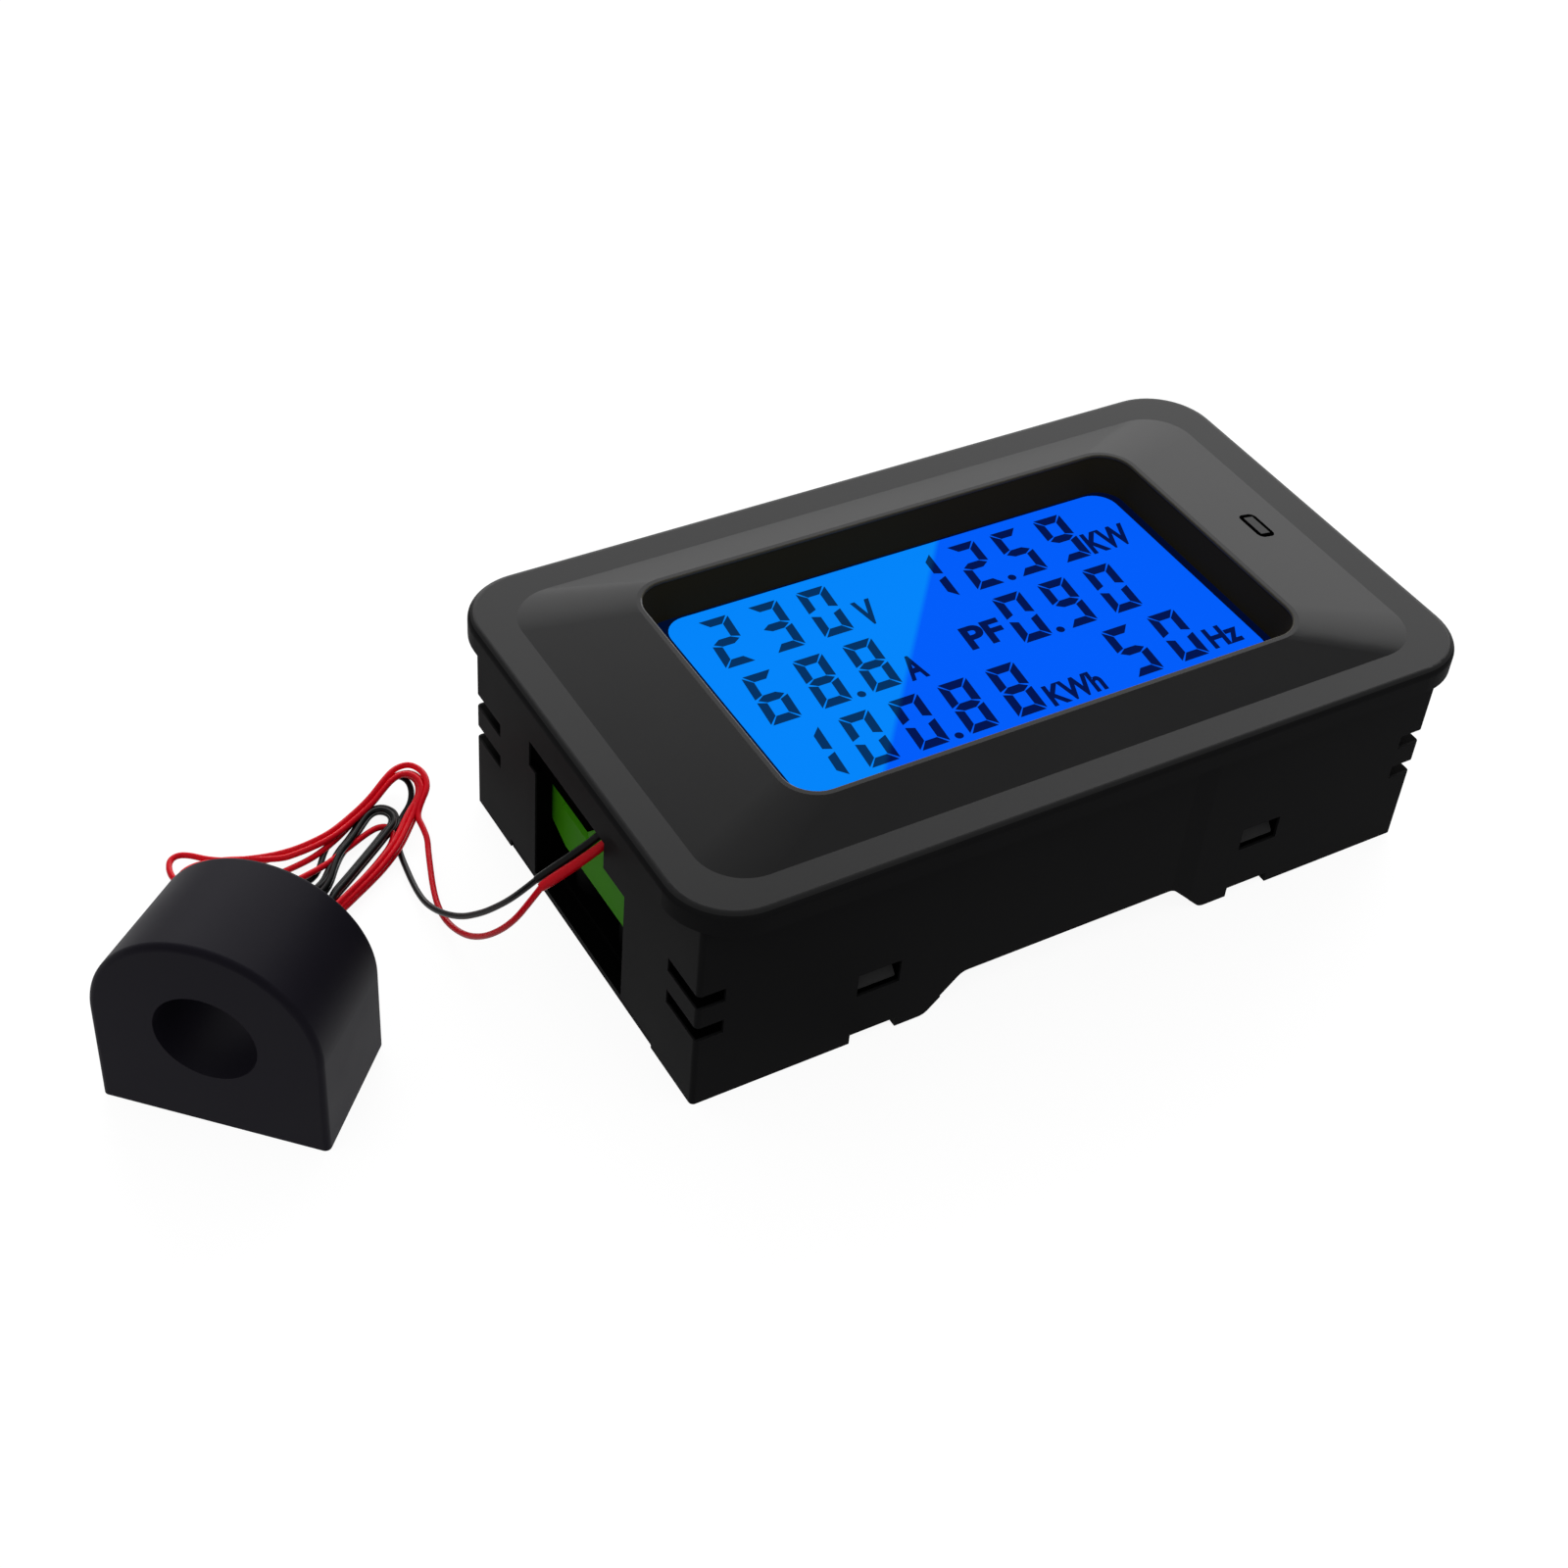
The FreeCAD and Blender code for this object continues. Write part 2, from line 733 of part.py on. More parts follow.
def make_button_parts():
    """The key in the right-hand slope, and the switch, stem and dome beneath it."""
    parts = {}
    top = ceiling_z - key_seat
    centre = (key_x, 0)
    prism = slab(key_length, key_height, key_corner, (top - key_flange_height / 2, rim_z + 1), centre)
    whole = fuse([bezel_blank(), slab(body_length, body_height, body_corner, (rear_z, 0))])
    head = prism.common(whole)
    grow = 2 * key_flange
    flange = slab(key_length + grow, key_height + grow, key_corner, (top - key_flange_height, top), centre)
    switch_top = board_top + switch_height
    stem_top = switch_top + stem_height
    post = rod(key_post_radius, key_x, 0, (stem_top, top - key_flange_height))
    parts["set_button"] = fuse([head, flange, post])
    collar_z = switch_top - stem_inside
    stem = rod(stem_radius, key_x, 0, (collar_z, stem_top))
    collar = rod(stem_radius + stem_collar, key_x, 0, (collar_z, collar_z + 0.5))
    parts["switch_stem"] = fuse([stem, collar])
    size = switch_size / 2
    body = box((key_x - size, key_x + size), (-size, size), (board_top, switch_top))
    bore = rod(stem_radius + stem_gap, key_x, 0, (collar_z, switch_top + 1))
    dome_low = collar_z - dome_rise - dome_thickness
    room = rod(stem_radius + stem_collar + stem_gap, key_x, 0, (dome_low - key_travel - 0.2, collar_z + 0.6))
    parts["switch_body"] = cut(body, [bore, room])
    parts["switch_dome"] = make_dome(dome_low)
    legs = []
    for x, y in corners_of(size, size - 1):
        out = math.copysign(leg_thickness, x)
        legs.append(box((key_x + x, key_x + x + out), (y - leg_width / 2, y + leg_width / 2),
                        (board_top, board_top + leg_rise)))
    parts["switch_legs"] = Part.makeCompound(legs)
    return parts


def make_dome(low):
    """The thin sprung cone that the stem stands on."""
    base = V(key_x, 0, low)
    outer = Part.makeCone(stem_radius + 0.2, stem_radius - 0.7, dome_rise + dome_thickness, base)
    inner = Part.makeCone(stem_radius, stem_radius - 0.9, dome_rise, base)
    return outer.cut(inner)


def on_board(size, at, low=None):
    """A block on the rear face of the board, or hanging from it by low."""
    length, height, thick = size
    top = board_low - (low or 0)
    x, y = at
    return box((x - length / 2, x + length / 2), (y - height / 2, y + height / 2), (top - thick, top))


def chip(size, at, legs, pitch):
    """A moulded chip on the rear face of the board with legs along its two long sides."""
    length, height, thick = size
    pieces = [on_board(size, at, chip_lift)]
    half = pitch * 0.17
    for side in (-1, 1):
        edge = at[1] + side * height / 2
        for number in range(legs):
            x = at[0] + (number - (legs - 1) / 2) * pitch
            across = (x - half, x + half)
            upright = (board_low - chip_lift - thick / 2, board_low)
            pieces.append(box(across, (edge, edge + side * chip_leg), (board_low - 0.25, board_low)))
            pieces.append(box(across, (edge, edge + side * 0.3), upright))
    return fuse(pieces)


def electrolytic(size, at):
    """A can standing on the board, with a groove near its foot."""
    radius, height = size
    can = rod(radius, *at, (board_low - height, board_low))
    groove = (board_low - can_groove_lift - can_groove_height, board_low - can_groove_lift)
    ring = rod(radius + 1, *at, groove).cut(rod(radius - can_groove, *at, groove))
    return can.cut(ring)


def make_varistor():
    """A disc standing on edge on two wire legs."""
    x, y = varistor_at
    thick = varistor_thickness
    start = V(x - thick / 2, y, board_low - varistor_drop)
    disc = Part.makeCylinder(varistor_radius, thick, start, V(1, 0, 0))
    along, across = varistor_legs_apart
    legs = []
    for side in (-1, 1):
        place = (x + side * along / 2, y + side * across / 2)
        legs.append(on_board((wire_leg, wire_leg, varistor_drop - 1.5), place))
    return fuse([disc] + legs)


def make_fuse_resistor():
    """A round resistor lying above the board on its two bent leads."""
    x, y = fuse_at
    z = board_low - fuse_drop
    body = Part.makeCylinder(fuse_radius, fuse_length, V(x - fuse_length / 2, y, z), V(1, 0, 0))
    half = wire_leg / 2
    lead = box((x - fuse_span / 2, x + fuse_span / 2), (y - half, y + half), (z - half, z + half))
    place = fuse_span / 2 - half
    legs = [on_board((wire_leg, wire_leg, fuse_drop + half), (x + side * place, y)) for side in (-1, 1)]
    return fuse([body, lead] + legs)


def row_on_board(size, count, at, apart, upwards=False):
    """Equal blocks in a row centred on one place, along X or up Y."""
    blocks = []
    for number in range(count):
        step = (number - (count - 1) / 2) * apart
        place = (at[0], at[1] + step) if upwards else (at[0] + step, at[1])
        blocks.append(on_board(size, place))
    return Part.makeCompound(blocks)


def make_board_parts():
    """What is soldered to the rear face of the board."""
    length, height, tall = crystal
    foot_z = board_low - crystal_foot
    can = slab(length, height, height / 2 - 0.1, (board_low - tall, foot_z), crystal_at)
    grow = 2 * crystal_rim
    rim = slab(length + grow, height + grow, height / 2 + crystal_rim - 0.1, (foot_z, board_low), crystal_at)
    length, height, tall = supply_box
    box_z = (board_low - tall, board_low)
    cans = [electrolytic(tall_can, tall_can_at), electrolytic(short_can, short_can_at)]
    return {
        "metering_chip": chip(small_chip, metering_chip_at, 4, small_chip_pitch),
        "display_driver": chip(driver_chip, driver_chip_at, 10, small_chip_pitch),
        "memory_chip": chip(small_chip, memory_chip_at, 4, small_chip_pitch),
        "bridge_rectifier": chip(rectifier, rectifier_at, 2, rectifier_pitch),
        "voltage_regulator": chip(regulator, regulator_at, 3, regulator_pitch),
        "crystal": fuse([can, rim]),
        "supply_capacitor": slab(length, height, supply_box_corner, box_z, supply_box_at),
        "smoothing_capacitors": Part.makeCompound(cans),
        "varistor": make_varistor(),
        "fuse_resistor": make_fuse_resistor(),
        "burden_resistors": row_on_board(burden_size, 2, burden_at, burden_apart, True),
        "divider_resistors": row_on_board(divider_size, divider_count, divider_at, divider_apart)}


def d_outline(width, height, y, grow=0.0, foot=0.0):
    """The transformer's outline in the plane of one Y: a flat base, upright sides and a round top."""
    radius = width / 2 - grow
    spring = height - width / 2
    left = V(-radius, y, foot)
    right = V(radius, y, foot)
    left_top = V(-radius, y, spring)
    right_top = V(radius, y, spring)
    crown = V(0, y, spring + radius)
    edges = [Part.LineSegment(left, right).toShape(), Part.LineSegment(right, right_top).toShape(),
             Part.Arc(right_top, crown, left_top).toShape(), Part.LineSegment(left_top, left).toShape()]
    return Part.Wire(edges)


def size_at(depth):
    """Width and height of the transformer's outside at one distance behind its front."""
    share = depth / ct_depth
    return (ct_width + (ct_back_width - ct_width) * share, ct_height + (ct_back_height - ct_height) * share)


def along_y(radius, start, end, height):
    """A round bar along Y."""
    return Part.makeCylinder(radius, end - start, V(0, start, height), V(0, 1, 0))


def make_transformer():
    """A moulded case open at its base, the wound ring core round its bore tube, and the closing resin."""
    front = d_outline(ct_width, ct_height, 0)
    back = d_outline(ct_back_width, ct_back_height, ct_depth)
    case = Part.makeLoft([front, back], True, True)
    rims = [edge for edge in case.Edges
            if edge.BoundBox.YLength < 0.01 and (edge.BoundBox.ZMax > 0.01)]
    case = case.makeFillet(ct_edge, rims)
    near = ct_wall
    far = ct_depth - ct_wall
    rings = [d_outline(*size_at(y), y, ct_wall, -1) for y in (near, far)]
    inside = Part.makeLoft(rings, True, True)
    tube_radius = ct_bore_radius + ct_tube_wall
    tube = along_y(tube_radius, near / 2, far + near / 2, ct_bore_height)
    bore = along_y(ct_bore_radius, -1, ct_depth + 1, ct_bore_height)
    housing = cut(fuse([cut(case, [inside]), tube]), [bore, wire_hole(red_hole), wire_hole(black_hole)])
    start = near + 0.3
    end = start + ct_winding_length
    wound = along_y(ct_winding_outer, start, end, ct_bore_height)
    wound = cut(wound, [along_y(tube_radius + ct_winding_gap, start - 1, end + 1, ct_bore_height)])
    core_in = tube_radius + ct_winding_gap + ct_winding_wall
    core_out = ct_winding_outer - ct_winding_wall
    core = along_y(core_out, start + ct_winding_wall, end - ct_winding_wall, ct_bore_height)
    core = cut(core, [along_y(core_in, start, end, ct_bore_height)])
    winding = wound.cut(core)
    width_near = size_at(near)[0] / 2 - ct_wall
    width_far = size_at(far)[0] / 2 - ct_wall
    gap = 0.1
    low = ct_base_recess
    base = [V(-width_near + gap, near + gap, low), V(width_near - gap, near + gap, low),
            V(width_far - gap, far - gap, low), V(-width_far + gap, far - gap, low)]
    resin = Part.Face(Part.makePolygon(base + base[:1])).extrude(V(0, 0, ct_resin))
    high = ct_bore_height - ct_winding_outer + 2
    saddle = box((-ct_saddle / 2, ct_saddle / 2), (start + 1, end - 1), (low + ct_resin, high))
    resin = fuse([resin, saddle]).cut(along_y(ct_winding_outer + 0.02, start - 1, end + 1, ct_bore_height))
    parts = {"ct_housing": housing, "ct_core": core, "ct_winding": winding, "ct_potting": resin}
    return {name: place_transformer(shape) for name, shape in parts.items()}


def wire_hole(place):
    """The hole in the transformer's back wall that one lead leaves by."""
    x, z = place
    start = V(x, ct_depth - ct_wall - 1, z)
    return Part.makeCylinder(wire / 2 + ct_hole_fit, ct_wall + 2, start, V(0, 1, 0))


def place_transformer(shape):
    """Turn the transformer and stand it beside the meter, on the surface under the rear edge."""
    placed = shape.copy()
    placed.rotate(V(0, 0, 0), V(0, 0, 1), ct_turn)
    placed.translate(V(ct_front_x, ct_front_y, rear_z))
    return placed


def ct_point(x, y, z):
    """A point of the transformer's own frame in the part's frame."""
    turn = math.radians(ct_turn)
    return V(ct_front_x + x * math.cos(turn) - y * math.sin(turn),
             ct_front_y + x * math.sin(turn) + y * math.cos(turn), rear_z + z)


def route_edges(points, radii=None, name=""):
    """Straight runs joined by tangent arcs, each as large as its two runs allow."""
    points = [V(*point) for point in points]
    edges = []
    made = []
    last = points[0]
    for number in range(1, len(points) - 1):
        before = points[number - 1] - points[number]
        after = points[number + 1] - points[number]
        turn = math.pi - before.getAngle(after)
        radius = 0.45 * min(before.Length, after.Length) / math.tan(turn / 2)
        if radii:
            radius = min(radius, radii)
        reach = radius * math.tan(turn / 2)
        into = V(before).normalize()
        out = V(after).normalize()
        start = points[number] + into * reach
        end = points[number] + out * reach
        bisector = (into + out).normalize()
        middle = points[number] + bisector * (radius / math.cos(turn / 2) - radius)
        edges.append(Part.LineSegment(last, start).toShape())
        edges.append(Part.Arc(start, middle, end).toShape())
        made.append(round(radius, 2))
        last = end
    edges.append(Part.LineSegment(last, points[-1]).toShape())
    print(name, "arc radii", made)
    return edges


def tube(edges, diameter, name):
    """A round tube along a path of runs and arcs, with its volume compared with section times length."""
    path = Part.Wire(edges)
    first = path.Edges[0]
    start = first.valueAt(first.FirstParameter)
    heading = first.tangentAt(first.FirstParameter)
    ring = Part.Wire([Part.Circle(start, heading, diameter / 2).toShape()])
    solid = path.makePipeShell([ring], True, False)
    expected = path.Length * math.pi * diameter ** 2 / 4
    print(name, "length", round(path.Length, 1), "volume ratio", round(solid.Volume / expected, 4),
          "valid", solid.isValid(), solid.ShapeType)
    return solid


def run_between(ends, near_size, far_size, back=False):
    """The straight run that touches both ends' circles: its two ends, its heading and its side."""
    near, far = ends
    along = far - near
    lean = math.asin((near_size - far_size) / along.Length)
    along = along.normalize()
    across = V(along.y, -along.x, 0)
    if back:
        across = across * -1
    side = across * math.cos(lean) + along * math.sin(lean)
    heading = along * math.cos(lean) - across * math.sin(lean)
    return near + side * near_size, far + side * far_size, heading, side


def climb(start, heading):
    """An S-shaped rise by one layer along a run: its two arcs and where it ends."""
    run = math.sqrt(hank_layer * (4 * climb_radius - hank_layer))
    turn = math.asin(run / 2 / climb_radius)
    half = turn / 2
    up = V(0, 0, 1)
    first = start + heading * (climb_radius * math.sin(half)) + up * (climb_radius * (1 - math.cos(half)))
    middle = start + heading * (run / 2) + up * (hank_layer / 2)
    end = start + heading * run + up * hank_layer
    second = end - heading * (climb_radius * math.sin(half)) - up * (climb_radius * (1 - math.cos(half)))
    return [Part.Arc(start, first, middle).toShape(), Part.Arc(middle, second, end).toShape()], end


def hank_path(near, far, near_radius, far_radius, low_z, last_run):
    """Edges of one hank, where and which way it ends, and where and which way it starts."""
    ends = (V(near[0], near[1], 0), V(far[0], far[1], 0))
    inner = hank_turns - 1
    turns = []
    for k in range(hank_turns):
        in_by = hank_step * k
        turns.append((near_radius - in_by + hank_step, far_radius - in_by, near_radius - in_by))
    for k in range(hank_turns):
        step_out = hank_step * (inner - k)
        turns.append((near_radius - step_out, far_radius - step_out, near_radius - step_out + hank_step))
    edges = []
    level = V(0, 0, low_z)
    for number, (near_size, far_size, next_size) in enumerate(turns):
        begin, end, heading, side = run_between(ends, near_size, far_size)
        begin = begin + level
        if number == 0:
            first = (begin, heading)
        if number == hank_turns:
            arcs, begin = climb(begin, heading)
            edges += arcs
            level = level + V(0, 0, hank_layer)
        end = end + level
        edges.append(Part.LineSegment(begin, end).toShape())
        back_near, back_far, heading, back_side = run_between(ends, next_size, far_size, True)
        round_far = ends[1] + (side + back_side).normalize() * far_size
        if (round_far - ends[1]).dot(ends[1] - ends[0]) < 0:
            round_far = ends[1] * 2 - round_far
        edges.append(Part.Arc(end, round_far + level, back_far + level).toShape())
        edges.append(Part.LineSegment(back_far + level, back_near + level).toShape())
        if number + 1 < len(turns):
            following = run_between(ends, turns[number + 1][0], turns[number + 1][1])
        else:
            following = run_between(ends, next_size, far_size + hank_step)
        round_near = ends[0] + (back_side + following[3]).normalize() * next_size
        if (round_near - ends[0]).dot(ends[1] - ends[0]) > 0:
            round_near = ends[0] * 2 - round_near
        edges.append(Part.Arc(back_near + level, round_near + level, following[0] + level).toShape())
    begin, end, heading, side = following
    stop = begin + (end - begin) * last_run
    edges.append(Part.LineSegment(begin + level, stop + level).toShape())
    return edges, stop + level, heading, first


def least_gap(edges, diameter, name):
    """Smallest distance between the tube and itself, measured on points along it."""
    path = Part.Wire(edges)
    count = int(path.Length / 0.4)
    points = path.discretize(count)
    step = path.Length / (count - 1)
    skip = int(4.0 / step)
    least = 1e9
    for i in range(len(points)):
        a = points[i]
        for j in range(i + skip, len(points)):
            b = points[j]
            dx = a.x - b.x
            dy = a.y - b.y
            dz = a.z - b.z
            square = dx * dx + dy * dy + dz * dz
            if square < least:
                least = square
    print(name, "least gap to itself", round(math.sqrt(least) - diameter, 3))


def turned(point, heading, degrees, length, drop):
    """The next point of a route after a turn to the right, lower by drop."""
    angle = math.atan2(heading.y, heading.x) - math.radians(degrees)
    following = V(math.cos(angle), math.sin(angle), 0)
    return point + following * length - V(0, 0, drop), following


def make_leads():
    """Each lead: a sleeve at the meter, a free stretch, the hank and a tail to the transformer."""
    floor = rear_z + wire / 2
    parts = {}
    black_low = floor
    red_low = black_low + hank_layer + wire + hank_rest
    black = hank_path(black_near, black_far, black_near_radius, black_far_radius, black_low, black_last_run)
    red = hank_path(red_near, red_far, red_near_radius, red_far_radius, red_low, red_last_run)
    red_exit = (-48.6, -3.1, -10.7)
    black_exit = (-48.5, -1.9, -10.8)
    red_way = [(-51.4, 8.9, floor), (-53.3, 6.6, -22.8), (-54.0, 3.9, -21.2), (-53.6, 1.2, -18.9),
               (-52.9, -0.9, -16.4), (-52.1, -2.4, -13.9)]
    black_way = [(-54.9, 8.0, floor + 0.5), (-54.4, 4.9, -20.5), (-53.7, 2.6, -18.1), (-52.9, 0.6, -15.8),
                 (-52.0, -1.1, -13.8)]
    leads = (("red", red, red_hole, red_way, red_exit), ("black", black, black_hole, black_way, black_exit))
    for colour, hank, hole, way, leave in leads:
        edges, end, heading, first = hank
        name = colour + "_hank"
        parts[name] = tube(edges, wire, name)
        least_gap(edges, wire, name)
        inside = ct_point(hole[0], ct_depth - ct_wall - 0.8, hole[1])
        outside = ct_point(hole[0], ct_depth + 2.4, hole[1])
        place, ahead = first
        name = colour + "_tail"
        route = [inside, outside, place - ahead * 3.2, place]
        parts[name] = tube(route_edges(route, None, name), wire, name)
        route = [end, end + heading * 2.4]
        drop = (end.z - way[0][2]) / 4
        for number in range(3):
            point, heading = turned(route[-1], heading, 44, 2.5, drop * (1.0 + 0.2 * (1 - number)))
            route.append(point)
        y = leave[1]
        knee = V(sleeve_knee[0], y, sleeve_knee[1])
        outwards = (V(*leave) - knee).normalize()
        route += list(way) + [V(*leave) + outwards * 2.5, leave]
        name = colour + "_lead"
        print(name, [tuple(round(value, 1) for value in point) for point in route])
        parts[name] = tube(route_edges(route, None, name), wire, name)
        low = board_top + sleeve / 2
        name = colour + "_sleeve"
        route = [(-36.6, y, low), (-39.6, y, low), knee, leave]
        parts[name] = tube(route_edges(route, sleeve_radius_of_bend, name), sleeve, name)
    names = list(parts)
    for number, one in enumerate(names):
        for other in names[number + 1:]:
            gap = parts[one].distToShape(parts[other])[0]
            if gap < 2:
                print("gap", one, other, round(gap, 2))
    return parts


def make_all():
    """Every node of the part by name."""
    parts = {"front_housing": make_front_housing(), "rear_cover": make_rear_cover(),
             "main_board": make_main_board(), "board_screws": make_board_screws(),
             "terminal_block": make_terminal_block(), "terminal_pins": make_terminal_pins()}
    for number, y in enumerate(pole_places(), start=1):
        parts["terminal_cage_%d" % number] = make_cage(y)
        parts["terminal_screw_%d" % number] = make_clamp_screw(y)
    parts.update(make_display())
    parts.update(make_button_parts())
    parts.update(make_board_parts())
    parts.update(make_transformer())
    parts.update(make_leads())
    return parts


os.makedirs("parts", exist_ok=True)
for node, solid in make_all().items():
    solid.exportStep("parts/" + node + ".step")
    print(node, "solids", len(solid.Solids), "volume", round(solid.Volume, 2), "valid", solid.isValid())
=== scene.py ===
import json
import math

import bmesh
import bpy
from mathutils import Matrix, Vector


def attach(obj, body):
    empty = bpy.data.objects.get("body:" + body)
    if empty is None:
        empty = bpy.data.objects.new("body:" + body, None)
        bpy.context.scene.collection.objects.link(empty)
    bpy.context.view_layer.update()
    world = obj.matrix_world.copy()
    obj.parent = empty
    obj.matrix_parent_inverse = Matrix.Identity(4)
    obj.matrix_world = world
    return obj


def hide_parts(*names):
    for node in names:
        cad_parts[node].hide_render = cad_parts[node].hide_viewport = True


# %% [markdown]
# A power meter for a control panel, with the ring transformer that measures the current. The moulded
# parts, the board and what sits on it come from the CAD model, which gives each piece its place. Blender
# adds what CAD draws poorly: the soft leads, the display's figures and the finish of every surface.

# %% Load the model and keep its size
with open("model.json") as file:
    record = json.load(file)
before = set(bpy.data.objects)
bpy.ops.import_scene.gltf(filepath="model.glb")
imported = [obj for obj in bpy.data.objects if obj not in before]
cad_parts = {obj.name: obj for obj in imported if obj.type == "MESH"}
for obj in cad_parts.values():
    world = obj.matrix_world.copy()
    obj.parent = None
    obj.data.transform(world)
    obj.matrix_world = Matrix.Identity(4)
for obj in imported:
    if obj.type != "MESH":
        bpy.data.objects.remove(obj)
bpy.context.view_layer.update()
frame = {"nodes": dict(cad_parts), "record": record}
nodes = frame["nodes"]

# %% [markdown]
# The camera stands at the front left, above the meter, and looks down at it by some 42 degrees. A long
# lens keeps the lines of the case nearly parallel, as in the photograph. Its three directions are written
# out, because they say more about the view than angles do.

# %% Camera
CAMERA_PLACE = Vector((-0.12294, -0.15425, 0.1566))
CAMERA_RIGHT = Vector((0.86377, -0.499, 0.06998))
CAMERA_UP = Vector((0.29188, 0.60871, 0.73775))
LENS = 57.313
camera_data = bpy.data.cameras.new("camera")
camera_data.lens = LENS
camera_data.sensor_width = 36.0
camera_data.clip_start = 0.01
camera = bpy.data.objects.new("camera", camera_data)
bpy.context.scene.collection.objects.link(camera)
turn = Matrix((CAMERA_RIGHT, CAMERA_UP, CAMERA_RIGHT.cross(CAMERA_UP))).transposed()
camera.matrix_world = Matrix.Translation(CAMERA_PLACE) @ turn.to_4x4()
bpy.context.scene.camera = camera
print("camera", [round(value, 3) for value in CAMERA_PLACE])
